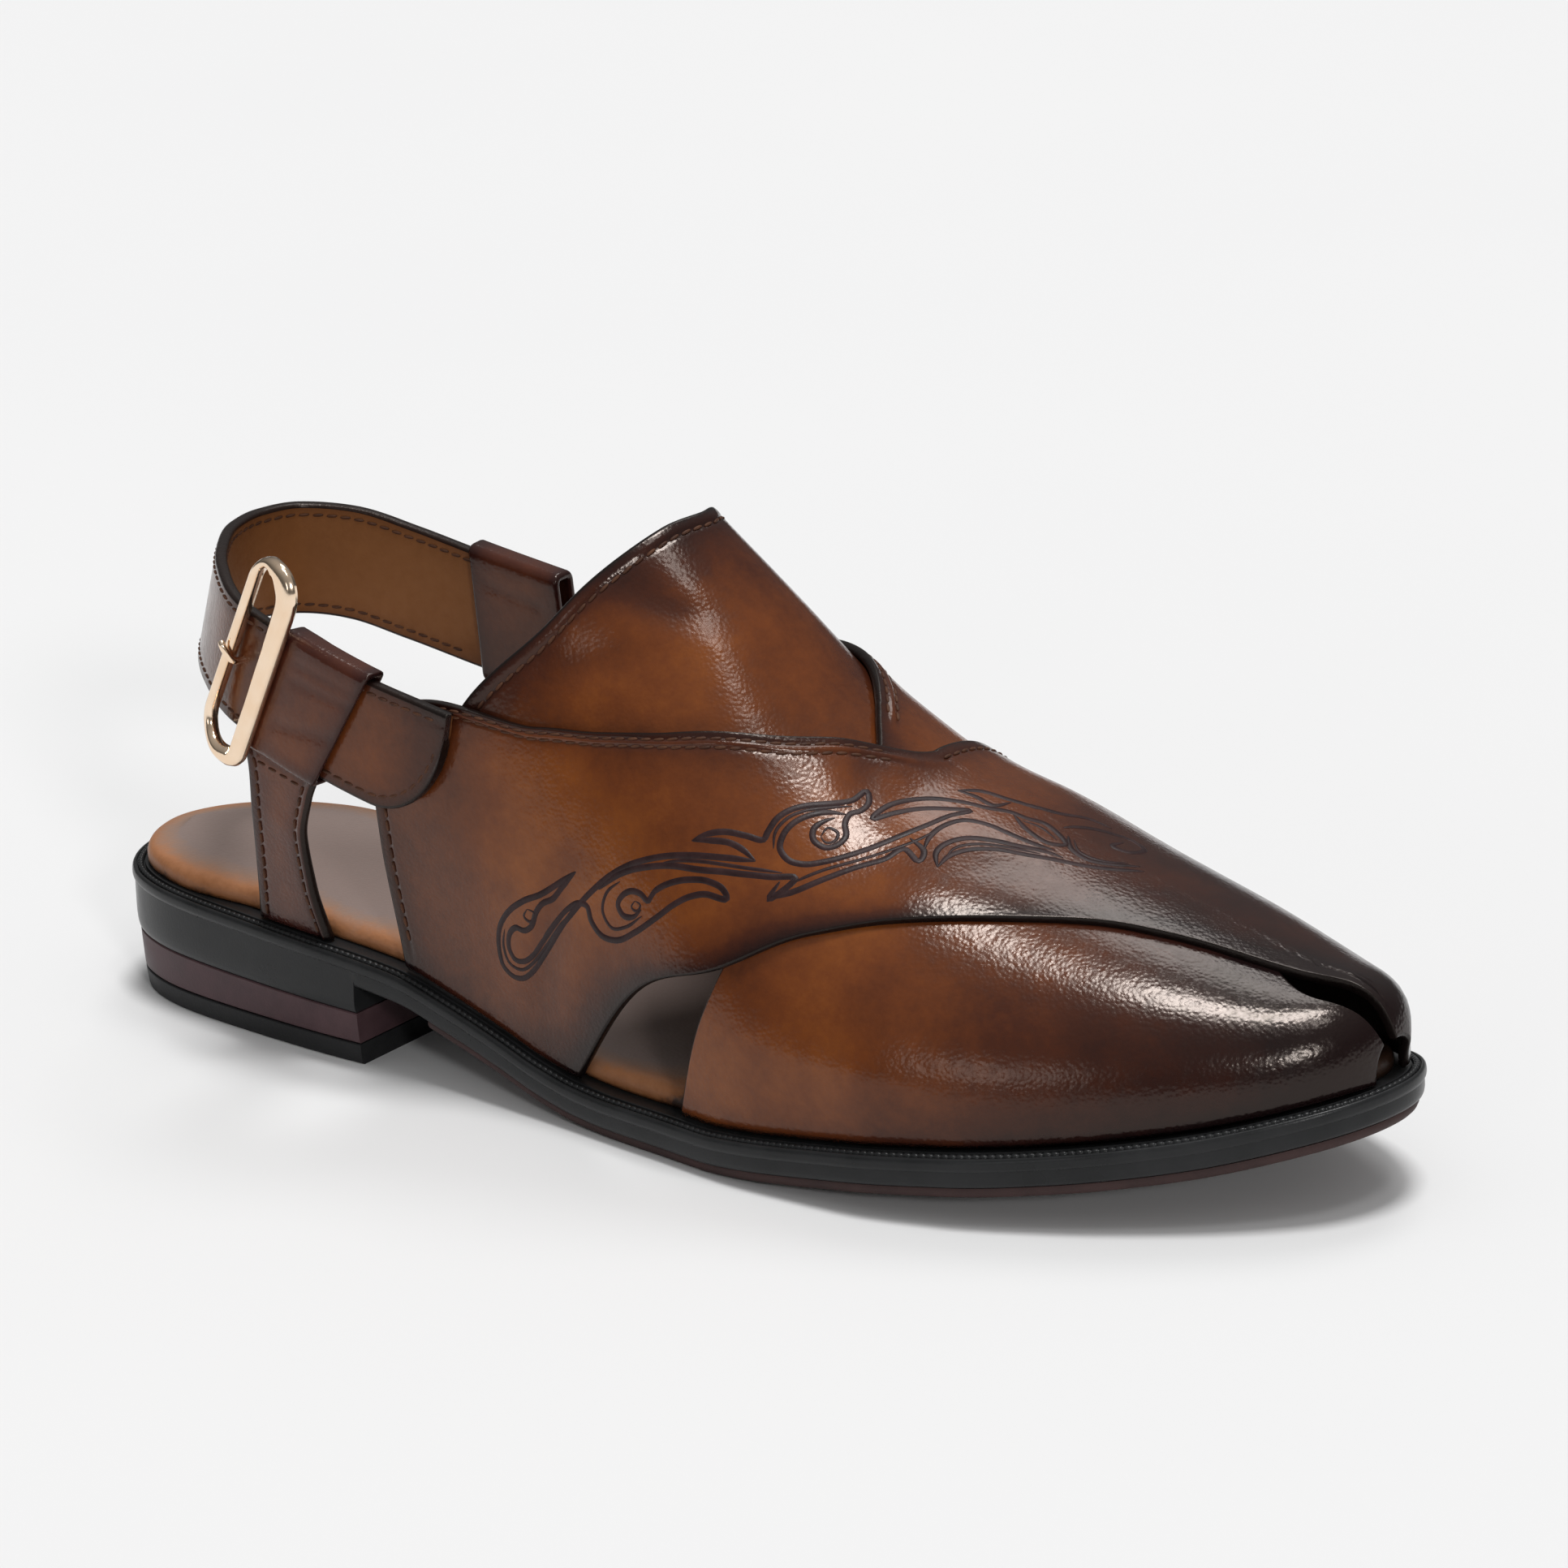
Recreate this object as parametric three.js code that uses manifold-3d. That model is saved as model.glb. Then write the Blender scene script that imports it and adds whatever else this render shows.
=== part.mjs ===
// Peshawari chappal, right foot: a leather sandal with two crossed vamp panels, a tongue,
// a buckled heel strap held by two stays, a padded footbed and a welted sole on a low heel.
// Millimetres. +X runs from heel to toe, +Y to the big-toe side, +Z up, floor at z = 0.
import * as THREE from 'three';
import Module from 'manifold-3d';

const wasm = await Module();
wasm.setup();

// Driving dimensions of the sole
const soleLength = 300;
const ballWidth = 100;
const seatHeight = 27.1; // top of the welt above the floor at the back of the heel
const edgeHeight = 8.8; // side of the sole at the ball, from floor to top of the welt
const toeSpring = 16.6;
const heelLength = 80;
const topPieceHeight = 4.4;
const heelTaper = 1.4;
const outsoleThickness = 2.2;
const outsoleInset = 1.5;
const weltShelf = 3; // flat ledge of the welt outside the upper
const beadHeight = 0.7;
const layerGap = 0.3;

// Driving dimensions of the footbed and the upper
const footbedThickness = 4.4;
const footbedRounding = 2.2;
const upperWall = 2;
const seamBite = 0.5; // how far the outer panel is pressed into the inner one where they are glued
const tongueThickness = 1.6;
const instepHeight = 113.4; // ridge of the last under the tip of the tongue

// Driving dimensions of the heel strap, the stays and the buckle
const strapWidth = 25;
const strapThickness = 2.5;
const tailLength = 24; // free end of the strap ahead of the lateral sleeve
const strapHeight = 84; // middle of the strap above the floor at the back of the heel
const stayWall = 1.6;
const stayWidth = 19;
const sleeveLength = 23;
const lateralSkew = 0.33; // slant of a sleeve's ends, as a share of their height
const medialSkew = 0.25;
const buckleSkew = 0.2;
const buckleHeight = 47;
const buckleWidth = 16;
const buckleRaise = 4.6; // middle of the buckle above the middle of the strap
const buckleOverlap = 5.7; // how far the front bar lies over the sleeve
const frontBarWidth = 5.4;
const rearBarWidth = 2.4;
const buckleThickness = 2.6;
const prongThickness = 1.8;
const prongLevel = -2.6; // the hole of the prong, above the middle of the buckle
const prongRise = 3.5; // tip of the prong above its hole
const prongHoleRoom = 0.7; // room around the prong in the hole of the strap

// How finely the curved pieces are faceted
const heelStations = 11;
const foreStations = 30;
const panelRows = 38;
const panelColumns = 11;

// Outline of the welt: place along the sole, then the little-toe side and the big-toe side of the
// edge as shares of the ball width
const outlineTable = [
  { along: 0, lateral: 0, medial: 0 },
  { along: 0.04, lateral: -0.222, medial: 0.215 },
  { along: 0.083, lateral: -0.278, medial: 0.285 },
  { along: 0.15, lateral: -0.316, medial: 0.326 },
  { along: 0.233, lateral: -0.346, medial: 0.325 },
  { along: 0.333, lateral: -0.365, medial: 0.295 },
  { along: 0.433, lateral: -0.405, medial: 0.3 },
  { along: 0.533, lateral: -0.458, medial: 0.36 },
  { along: 0.633, lateral: -0.504, medial: 0.455 },
  { along: 0.7, lateral: -0.508, medial: 0.495 },
  { along: 0.767, lateral: -0.476, medial: 0.485 },
  { along: 0.833, lateral: -0.403, medial: 0.435 },
  { along: 0.9, lateral: -0.297, medial: 0.36 },
  { along: 0.95, lateral: -0.191, medial: 0.285 },
  { along: 0.983, lateral: -0.09, medial: 0.2 },
  { along: 1, lateral: 0.065, medial: 0.065 },
];

// Line of the sole seen from the side: share of the rise to the heel seat and share of the toe spring
const profileTable = [
  { along: 0, seat: 1, spring: 0 },
  { along: 0.2, seat: 0.869, spring: 0 },
  { along: 0.3, seat: 0.732, spring: 0 },
  { along: 0.35, seat: 0.52, spring: 0 },
  { along: 0.4, seat: 0.29, spring: 0 },
  { along: 0.433, seat: 0.13, spring: 0 },
  { along: 0.467, seat: 0.03, spring: 0 },
  { along: 0.5, seat: 0, spring: 0 },
  { along: 0.58, seat: 0, spring: 0 },
  { along: 0.617, seat: 0, spring: 0.05 },
  { along: 0.717, seat: 0, spring: 0.247 },
  { along: 0.817, seat: 0, spring: 0.4 },
  { along: 0.9, seat: 0, spring: 0.596 },
  { along: 1, seat: 0, spring: 1 },
];

// Sections of the last above its feather edge: rise of the ridge as a share of the instep height, place
// of the ridge across as a share of the ball width, then how far each side runs upright, how full the
// crown is and how far the side swells out over its base
const lastTable = [
  { along: 0.26, ridge: 1.25, across: 0.02, upright: 0.84, crown: 0.92, swell: 0.07 },
  { along: 0.33, ridge: 1.2, across: 0.02, upright: 0.8, crown: 0.9, swell: 0.06 },
  { along: 0.43, ridge: 1.105, across: 0.02, upright: 0.62, crown: 0.55, swell: 0.03 },
  { along: 0.479, ridge: 1, across: 0.025, upright: 0.6, crown: 0.5, swell: 0.02 },
  { along: 0.531, ridge: 0.865, across: 0.035, upright: 0.6, crown: 0.54, swell: 0.02 },
  { along: 0.603, ridge: 0.658, across: 0.05, upright: 0.6, crown: 0.58, swell: 0.02 },
  { along: 0.672, ridge: 0.51, across: 0.065, upright: 0.6, crown: 0.6, swell: 0.02 },
  { along: 0.71, ridge: 0.462, across: 0.068, upright: 0.6, crown: 0.6, swell: 0.03 },
  { along: 0.81, ridge: 0.358, across: 0.068, upright: 0.62, crown: 0.62, swell: 0.03 },
  { along: 0.86, ridge: 0.3, across: 0.065, upright: 0.64, crown: 0.66, swell: 0.03 },
  { along: 0.945, ridge: 0.19, across: 0.063, upright: 0.68, crown: 0.72, swell: 0.02 },
  { along: 0.985, ridge: 0.14, across: 0.063, upright: 0.68, crown: 0.72, swell: 0.01 },
  { along: 1, ridge: 0, across: 0.065, upright: 0.6, crown: 0.6, swell: 0 },
];

// Edges of the panels and the tongue, drawn on the last: place along, and place around from 0 at the
// little-toe side of the sole over 0.5 on the ridge to 1 at the big-toe side
const outerPanelBack = [
  { step: 0, along: 0.307, around: 0 },
  { step: 0.08, along: 0.298, around: 0.045 },
  { step: 0.17, along: 0.297, around: 0.08 },
  { step: 0.24, along: 0.32, around: 0.11 },
  { step: 0.38, along: 0.44, around: 0.19 },
  { step: 0.46, along: 0.515, around: 0.255 },
  { step: 0.52, along: 0.567, around: 0.33 },
  { step: 0.58, along: 0.61, around: 0.415 },
  { step: 0.64, along: 0.648, around: 0.5 },
  { step: 0.76, along: 0.645, around: 0.65 },
  { step: 0.88, along: 0.605, around: 0.85 },
  { step: 1, along: 0.557, around: 1 },
];
const outerPanelFront = [
  { step: 0, along: 0.463, around: 0 },
  { step: 0.12, along: 0.53, around: 0.077 },
  { step: 0.24, along: 0.603, around: 0.14 },
  { step: 0.34, along: 0.655, around: 0.209 },
  { step: 0.48, along: 0.755, around: 0.307 },
  { step: 0.62, along: 0.848, around: 0.397 },
  { step: 0.76, along: 0.935, around: 0.445 },
  { step: 0.86, along: 0.975, around: 0.46 },
  { step: 0.93, along: 0.997, around: 0.47 },
  { step: 1, along: 0.997, around: 1 },
];
const innerPanelBack = [
  { step: 0, along: 0.307, around: 1 },
  { step: 0.08, along: 0.303, around: 0.955 },
  { step: 0.17, along: 0.308, around: 0.915 },
  { step: 0.24, along: 0.34, around: 0.875 },
  { step: 0.4, along: 0.455, around: 0.79 },
  { step: 0.52, along: 0.55, around: 0.66 },
  { step: 0.64, along: 0.607, around: 0.5 },
  { step: 0.72, along: 0.632, around: 0.42 },
  { step: 0.82, along: 0.63, around: 0.27 },
  { step: 0.92, along: 0.594, around: 0.12 },
  { step: 1, along: 0.557, around: 0 },
];
const innerPanelFront = [
  { step: 0, along: 0.463, around: 1 },
  { step: 0.12, along: 0.533, around: 0.925 },
  { step: 0.24, along: 0.603, around: 0.865 },
  { step: 0.34, along: 0.655, around: 0.8 },
  { step: 0.48, along: 0.755, around: 0.71 },
  { step: 0.62, along: 0.848, around: 0.6 },
  { step: 0.76, along: 0.925, around: 0.46 },
  { step: 0.86, along: 0.965, around: 0.38 },
  { step: 0.93, along: 0.997, around: 0.35 },
  { step: 1, along: 0.997, around: 0 },
];
const tongueBack = [
  { step: 0, along: 0.36, around: 0.125 },
  { step: 0.25, along: 0.436, around: 0.28 },
  { step: 0.42, along: 0.471, around: 0.42 },
  { step: 0.5, along: 0.479, around: 0.5 },
  { step: 0.58, along: 0.471, around: 0.58 },
  { step: 0.75, along: 0.436, around: 0.72 },
  { step: 1, along: 0.36, around: 0.875 },
];
const tongueFront = [
  { step: 0, along: 0.4, around: 0.11 },
  { step: 0.25, along: 0.54, around: 0.23 },
  { step: 0.5, along: 0.665, around: 0.5 },
  { step: 0.75, along: 0.54, around: 0.77 },
  { step: 1, along: 0.4, around: 0.89 },
];

// Middle of the heel strap from its free tail round the back of the heel: along as a share of the sole
// length, across of the ball width, height of the strap height, and the lean of its top to the foot
const strapTable = [
  { along: 0.367, across: -0.38, height: 0.81, lean: 0.03 },
  { along: 0.3, across: -0.378, height: 0.86, lean: 0.03 },
  { along: 0.243, across: -0.365, height: 0.915, lean: 0.05 },
  { along: 0.18, across: -0.325, height: 0.975, lean: 0.1 },
  { along: 0.137, across: -0.235, height: 1.015, lean: 0.18 },
  { along: 0.101, across: -0.11, height: 1.027, lean: 0.24 },
  { along: 0.078, across: 0, height: 1.022, lean: 0.24 },
  { along: 0.07, across: 0.1, height: 1.016, lean: 0.22 },
  { along: 0.081, across: 0.2, height: 1.01, lean: 0.16 },
  { along: 0.116, across: 0.26, height: 0.995, lean: 0.08 },
  { along: 0.16, across: 0.29, height: 0.955, lean: 0.04 },
  { along: 0.215, across: 0.305, height: 0.91, lean: 0.03 },
  { along: 0.292, across: 0.312, height: 0.86, lean: 0.03 },
];

// Edges of a stay between the welt and its sleeve: height as a share of the way up, then its rear edge
// and its swell outwards as shares of the stay width
const stayTable = [
  { up: 0, rear: 0, width: 1.08, swell: 0 },
  { up: 0.3, rear: -0.07, width: 0.88, swell: 0.06 },
  { up: 0.6, rear: -0.08, width: 0.82, swell: 0.14 },
  { up: 0.85, rear: -0.02, width: 0.95, swell: 0.2 },
  { up: 1, rear: 0, width: 1.15, swell: 0.25 },
];

// Corners of the buckle frame, rounded as shares of its width and its height; side 1 is the rear
const buckleCorners = [
  { side: 1, level: 1, across: 0.45, up: 0.14 },
  { side: -1, level: 1, across: 0.5, up: 0.2 },
  { side: -1, level: -1, across: 0.25, up: 0.08 },
  { side: 1, level: -1, across: 0.7, up: 0.2 },
];

// Side of the sole from the ledge of the welt downwards: inset from the outline and drop, as shares of
// the welt shelf and the edge height
const weltProfile = [
  { inset: 1, drop: 0 },
  { inset: 0.86, drop: 0.09 },
  { inset: 0.76, drop: 0.01 },
  { inset: 0.44, drop: 0.01 },
  { inset: 0.34, drop: 0.09 },
  { inset: 0.22, drop: 0.05 },
  { inset: 0.02, drop: 0.12 },
  { inset: 0, drop: 0.24 },
  { inset: 0.14, drop: 0.34 },
];

// Small helpers

const clamp01 = (value) => Math.min(1, Math.max(0, value));

function smooth(from, to, value) {
  const share = clamp01((value - from) / (to - from));
  return share * share * (3 - 2 * share);
}

// Monotone cubic through the rows of a table, so that a curve never overshoots its rows
function curveThrough(table, keyName, valueName, keyMap = (key) => key) {
  const keys = table.map((row) => keyMap(row[keyName]));
  const values = table.map((row) => row[valueName]);
  const last = keys.length - 1;
  const slopes = [];
  for (let i = 0; i < last; i++) slopes.push((values[i + 1] - values[i]) / (keys[i + 1] - keys[i]));
  const tangents = [slopes[0]];
  for (let i = 1; i < last; i++) {
    const before = slopes[i - 1];
    const after = slopes[i];
    const spanBefore = keys[i] - keys[i - 1];
    const spanAfter = keys[i + 1] - keys[i];
    const weightBefore = 2 * spanAfter + spanBefore;
    const weightAfter = spanAfter + 2 * spanBefore;
    const level = before * after <= 0;
    const mean = (weightBefore + weightAfter) / (weightBefore / before + weightAfter / after);
    tangents.push(level ? 0 : mean);
  }
  tangents.push(slopes[last - 1]);
  return (key) => {
    let i = 0;
    while (i < last - 1 && key > keys[i + 1]) i++;
    const span = keys[i + 1] - keys[i];
    const s = clamp01((key - keys[i]) / span);
    const s2 = s * s;
    const s3 = s2 * s;
    return (
      values[i] * (2 * s3 - 3 * s2 + 1) +
      tangents[i] * span * (s3 - 2 * s2 + s) +
      values[i + 1] * (3 * s2 - 2 * s3) +
      tangents[i + 1] * span * (s3 - s2)
    );
  };
}

// Welds loose triangles into one closed geometry with its faces pointing out
function weld(triangles) {
  const places = new Map();
  const positions = [];
  const index = [];
  const place = (point) => {
    const key = [point.x, point.y, point.z].map((value) => Math.round(value * 1e4)).join(' ');
    if (!places.has(key)) {
      places.set(key, positions.length / 3);
      positions.push(point.x, point.y, point.z);
    }
    return places.get(key);
  };
  let volume = 0;
  for (const corners of triangles) {
    const [a, b, c] = corners.map(place);
    if (a === b || b === c || c === a) continue;
    index.push(a, b, c);
    volume += corners[0].dot(new THREE.Vector3().crossVectors(corners[1], corners[2]));
  }
  if (volume < 0) index.reverse();
  const geometry = new THREE.BufferGeometry();
  geometry.setAttribute('position', new THREE.Float32BufferAttribute(positions, 3));
  geometry.setIndex(index);
  return geometry;
}

// A quad is split along its shorter diagonal
function addQuad(triangles, a, b, c, d) {
  if (a.distanceTo(c) <= b.distanceTo(d)) triangles.push([a, b, c], [a, c, d]);
  else triangles.push([a, b, d], [b, c, d]);
}

// A stack of closed rings of equal count, capped by strips between the two halves of the end rings
function stackOfRings(rings) {
  const triangles = [];
  const count = rings[0].length;
  for (let level = 0; level + 1 < rings.length; level++) {
    for (let i = 0; i < count; i++) {
      const next = (i + 1) % count;
      addQuad(triangles, rings[level][i], rings[level][next], rings[level + 1][next], rings[level + 1][i]);
    }
  }
  const half = count / 2;
  const cap = (ring, flip) => {
    for (let i = 0; i + 1 < half; i++) {
      const corners = [ring[i], ring[i + 1], ring[count - 2 - i], ring[count - 1 - i]];
      addQuad(triangles, ...(flip ? corners.reverse() : corners));
    }
  };
  cap(rings[0], true);
  cap(rings[rings.length - 1], false);
  return weld(triangles);
}

// A closed sheet between an inner and an outer grid of points
function sheetBetween(inner, outer) {
  const triangles = [];
  const rows = inner.length;
  const columns = inner[0].length;
  for (let i = 0; i + 1 < rows; i++) {
    for (let j = 0; j + 1 < columns; j++) {
      addQuad(triangles, outer[i][j], outer[i][j + 1], outer[i + 1][j + 1], outer[i + 1][j]);
      addQuad(triangles, inner[i][j], inner[i + 1][j], inner[i + 1][j + 1], inner[i][j + 1]);
    }
  }
  const border = [];
  for (let j = 0; j < columns; j++) border.push([0, j]);
  for (let i = 1; i < rows; i++) border.push([i, columns - 1]);
  for (let j = columns - 2; j >= 0; j--) border.push([rows - 1, j]);
  for (let i = rows - 2; i > 0; i--) border.push([i, 0]);
  border.forEach(([i, j], k) => {
    const [p, q] = border[(k + 1) % border.length];
    addQuad(triangles, outer[i][j], inner[i][j], inner[p][q], outer[p][q]);
  });
  return weld(triangles);
}

function asSolid(geometry) {
  const vertProperties = geometry.attributes.position.array;
  const triVerts = new Uint32Array(geometry.index.array);
  return new wasm.Manifold(new wasm.Mesh({ numProp: 3, vertProperties, triVerts }));
}

function asGeometry(solid) {
  const mesh = solid.getMesh();
  const geometry = new THREE.BufferGeometry();
  geometry.setAttribute('position', new THREE.BufferAttribute(new Float32Array(mesh.vertProperties), 3));
  geometry.setIndex(new THREE.BufferAttribute(new Uint32Array(mesh.triVerts), 1));
  return geometry;
}

// Lines of the sole

const turnOf = (along) => Math.acos(1 - 2 * along);
const alongOf = (turn) => (1 - Math.cos(turn)) / 2;
const lateralEdge = curveThrough(outlineTable, 'along', 'lateral', turnOf);
const medialEdge = curveThrough(outlineTable, 'along', 'medial', turnOf);
const seatShare = curveThrough(profileTable, 'along', 'seat');
const springShare = curveThrough(profileTable, 'along', 'spring');

const floorLine = (along) =>
  (seatHeight - edgeHeight) * seatShare(along) + toeSpring * springShare(along);
const weltTop = (x) => floorLine(clamp01(x / soleLength)) + edgeHeight;
const breastTurn = turnOf(heelLength / soleLength);

// A point of the outline at a turn from 0 at the back of the heel to pi at the toe, moved inwards
function outlinePoint(turn, side, inset) {
  const edge = side < 0 ? lateralEdge : medialEdge;
  const at = (angle) => {
    const mirrored = angle < 0 || angle > Math.PI;
    const folded = angle < 0 ? -angle : angle > Math.PI ? 2 * Math.PI - angle : angle;
    const other = side < 0 ? medialEdge : lateralEdge;
    const y = (mirrored ? other : edge)(folded) * ballWidth;
    return new THREE.Vector2(alongOf(folded) * soleLength, y);
  };
  const reach = 0.03;
  const tangent = at(turn + reach).sub(at(turn - reach)).normalize();
  const inward = new THREE.Vector2(tangent.y * side, -tangent.x * side);
  const point = at(turn);
  return point.addScaledVector(inward, typeof inset === 'function' ? inset(point.x) : inset);
}

// Turns of the stations between two turns, one of them always at the heel breast
function stationTurns(from, to) {
  const turns = [];
  for (let i = 0; i <= heelStations; i++) turns.push((breastTurn * i) / heelStations);
  for (let i = 1; i <= foreStations; i++) turns.push(breastTurn + ((Math.PI - breastTurn) * i) / foreStations);
  const inside = turns.filter((turn) => turn > from + 0.02 && turn < to - 0.02);
  return [from, ...inside, to];
}

// A ring of the outline: out along the little-toe side and back along the big-toe side
function outlineRing(turns, inset, heightAt) {
  const lateral = turns.map((turn) => outlinePoint(turn, -1, inset));
  const medial = turns.map((turn) => outlinePoint(turn, 1, inset));
  return [...lateral, ...medial.reverse()].map((p) => new THREE.Vector3(p.x, p.y, heightAt(p.x)));
}

const heelLine = (x) => {
  const share = clamp01(x / heelLength);
  return topPieceHeight + (seatHeight - topPieceHeight) * (0.4 - 0.09 * share);
};

// Underside of the sole: down to the heel under the seat, over the shank, and on to the outsole
function undersideAt(x) {
  const shank = floorLine(clamp01(x / soleLength)) + outsoleThickness + layerGap;
  return x <= heelLength + 0.5 ? heelLine(x) : shank;
}

function soleUnit() {
  const turns = stationTurns(0, Math.PI);
  const rings = weltProfile.map(({ inset, drop }) =>
    outlineRing(turns, inset * weltShelf, (x) => weltTop(x) - drop * (inset > 0.3 ? beadHeight * 11 : edgeHeight)),
  );
  const waist = (share) => (x) => weltTop(x) + (undersideAt(x) - weltTop(x)) * share;
  rings.push(outlineRing(turns, weltShelf * 0.12, waist(0.72)));
  rings.push(outlineRing(turns, weltShelf * 0.3, waist(1)));
  return stackOfRings(rings);
}

function outsole() {
  const turns = stationTurns(turnOf(0.33), Math.PI);
  const under = (x) => floorLine(clamp01(x / soleLength));
  const rings = [
    outlineRing(turns, outsoleInset, (x) => under(x) + outsoleThickness),
    outlineRing(turns, outsoleInset, (x) => under(x) + outsoleThickness * 0.6),
    outlineRing(turns, outsoleInset * 2, under),
  ];
  return stackOfRings(rings);
}

function heelLift() {
  const turns = stationTurns(0, breastTurn);
  return stackOfRings([
    outlineRing(turns, heelTaper * 0.65, (x) => heelLine(x) - layerGap),
    outlineRing(turns, heelTaper, () => topPieceHeight + layerGap),
  ]);
}

function heelTopPiece() {
  const turns = stationTurns(0, breastTurn);
  return stackOfRings([
    outlineRing(turns, heelTaper, () => topPieceHeight),
    outlineRing(turns, heelTaper * 1.3, () => topPieceHeight * 0.12),
    outlineRing(turns, heelTaper * 1.7, () => 0),
  ]);
}

// The footbed fills the ledge inside the upper, and its top edge is rounded over
const footbedInset = (x) =>
  weltShelf + 2 * layerGap + (upperWall + 2 * layerGap) * smooth(0.09, 0.16, x / soleLength);

function footbed() {
  const turns = stationTurns(0, Math.PI);
  const level = (share) => (x) => weltTop(x) + layerGap + (footbedThickness - layerGap) * share;
  const ring = (rounding, share) =>
    outlineRing(turns, (x) => footbedInset(x) + footbedRounding * rounding, level(share));
  return stackOfRings([
    ring(0, 0),
    ring(0, 0.45),
    ring(0.35, 0.85),
    ring(1, 1),
  ]);
}

// The last, which the upper is pulled over

const lastInset = weltShelf + upperWall;
const ridgeShare = curveThrough(lastTable, 'along', 'ridge', turnOf);
const ridgeAcross = curveThrough(lastTable, 'along', 'across', turnOf);
const uprightShare = curveThrough(lastTable, 'along', 'upright', turnOf);
const crownShare = curveThrough(lastTable, 'along', 'crown', turnOf);
const swellShare = curveThrough(lastTable, 'along', 'swell', turnOf);

// A point on the last, by its place along the sole and its place around from side to side
function lastPoint(along, around) {
  const turn = turnOf(along);
  const side = around < 0.5 ? -1 : 1;
  const climb = clamp01(side < 0 ? around * 2 : (1 - around) * 2);
  const base = outlinePoint(turn, side, lastInset);
  const baseHeight = weltTop(base.x) + layerGap;
  const ridgeX = lastInset + (soleLength - 2 * lastInset) * along;
  const ridgeY = ridgeAcross(turn) * ballWidth;
  const ridgeZ = baseHeight + ridgeShare(turn) * (instepHeight - edgeHeight);
  const swell = side * swellShare(turn) * ballWidth;
  const corners = [
    [base.x, base.y, baseHeight],
    [base.x, base.y + swell, baseHeight + (ridgeZ - baseHeight) * uprightShare(turn)],
    [ridgeX, ridgeY + (base.y - ridgeY) * crownShare(turn), ridgeZ],
    [ridgeX, ridgeY, ridgeZ],
  ].map((corner) => new THREE.Vector3(...corner));
  return new THREE.CubicBezierCurve3(...corners).getPoint(climb);
}

// The same point lifted off the last, square to its surface
function liftedPoint(along, around, lift) {
  const reach = 0.004;
  const ahead = Math.min(along + reach, 0.9995);
  const across = clamp01(around);
  const alongStep = lastPoint(ahead, across).sub(lastPoint(ahead - 2 * reach, across));
  const left = clamp01(across - reach);
  const right = clamp01(across + reach);
  const aroundStep = lastPoint(along, right).sub(lastPoint(along, left));
  const out = new THREE.Vector3().crossVectors(alongStep, aroundStep).normalize();
  if (across === 0 || across === 1) out.setZ(0).normalize();
  const point = lastPoint(along, across).addScaledVector(out, lift);
  const ledge = weltTop(point.x) + layerGap;
  return point.setZ(across === 0 || across === 1 ? ledge : Math.max(point.z, ledge));
}

// A sheet on the last between a back edge and a front edge, with its own clearance below it
function sheetOnLast(backTable, frontTable, rows, columns, clearance, thickness) {
  const edge = (table, name) => curveThrough(table, 'step', name);
  const backAlong = edge(backTable, 'along');
  const backAround = edge(backTable, 'around');
  const frontAlong = edge(frontTable, 'along');
  const frontAround = edge(frontTable, 'around');
  const grid = (extra) => {
    const points = [];
    for (let i = 0; i <= rows; i++) {
      const step = i / rows;
      const row = [];
      for (let j = 0; j <= columns; j++) {
        const share = j / columns;
        const backTurn = turnOf(backAlong(step));
        const frontTurn = turnOf(frontAlong(step));
        const along = alongOf(backTurn + (frontTurn - backTurn) * share);
        const around = backAround(step) + (frontAround(step) - backAround(step)) * share;
        row.push(liftedPoint(along, around, clearance(along, around) + extra));
      }
      points.push(row);
    }
    return points;
  };
  return sheetBetween(grid(0), grid(thickness));
}

// Room under the panels for the tongue, fading out at the sole and ahead of the tongue
function tongueRoom(along, around) {
  const awayFromSole = smooth(0, 0.09, Math.min(around, 1 - around));
  return (tongueThickness + layerGap) * awayFromSole * (1 - smooth(0.7, 0.8, along));
}

// Room under the outer panel for the inner one, where they cross
function crossingRoom(along, around) {
  const overInner = smooth(0.5, 0.58, along) * smooth(0, 0.09, around);
  const towardsMedial = 1 - smooth(0.7, 0.92, around);
  return tongueRoom(along, around) + (upperWall - seamBite) * overInner * towardsMedial;
}

function upper() {
  const innerPanel = sheetOnLast(innerPanelBack, innerPanelFront, panelRows, panelColumns, tongueRoom, upperWall);
  const outerPanel = sheetOnLast(outerPanelBack, outerPanelFront, panelRows, panelColumns, crossingRoom, upperWall);
  return asGeometry(asSolid(innerPanel).add(asSolid(outerPanel)));
}

function tongue() {
  return sheetOnLast(tongueBack, tongueFront, 20, 8, () => 0, tongueThickness);
}

// The heel strap, and the stays whose sleeves it runs through

const strapPath = new THREE.CatmullRomCurve3(
  strapTable.map(
    ({ along, across, height }) =>
      new THREE.Vector3(along * soleLength, across * ballWidth + Math.sign(across) * upperWall * 0.5, height * strapHeight),
  ),
  false,
  'centripetal',
);
const strapRun = strapPath.getLength();
const strapLean = curveThrough(
  strapTable.map(({ lean }, i) => ({ step: i / (strapTable.length - 1), lean })),
  'step',
  'lean',
);

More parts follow.
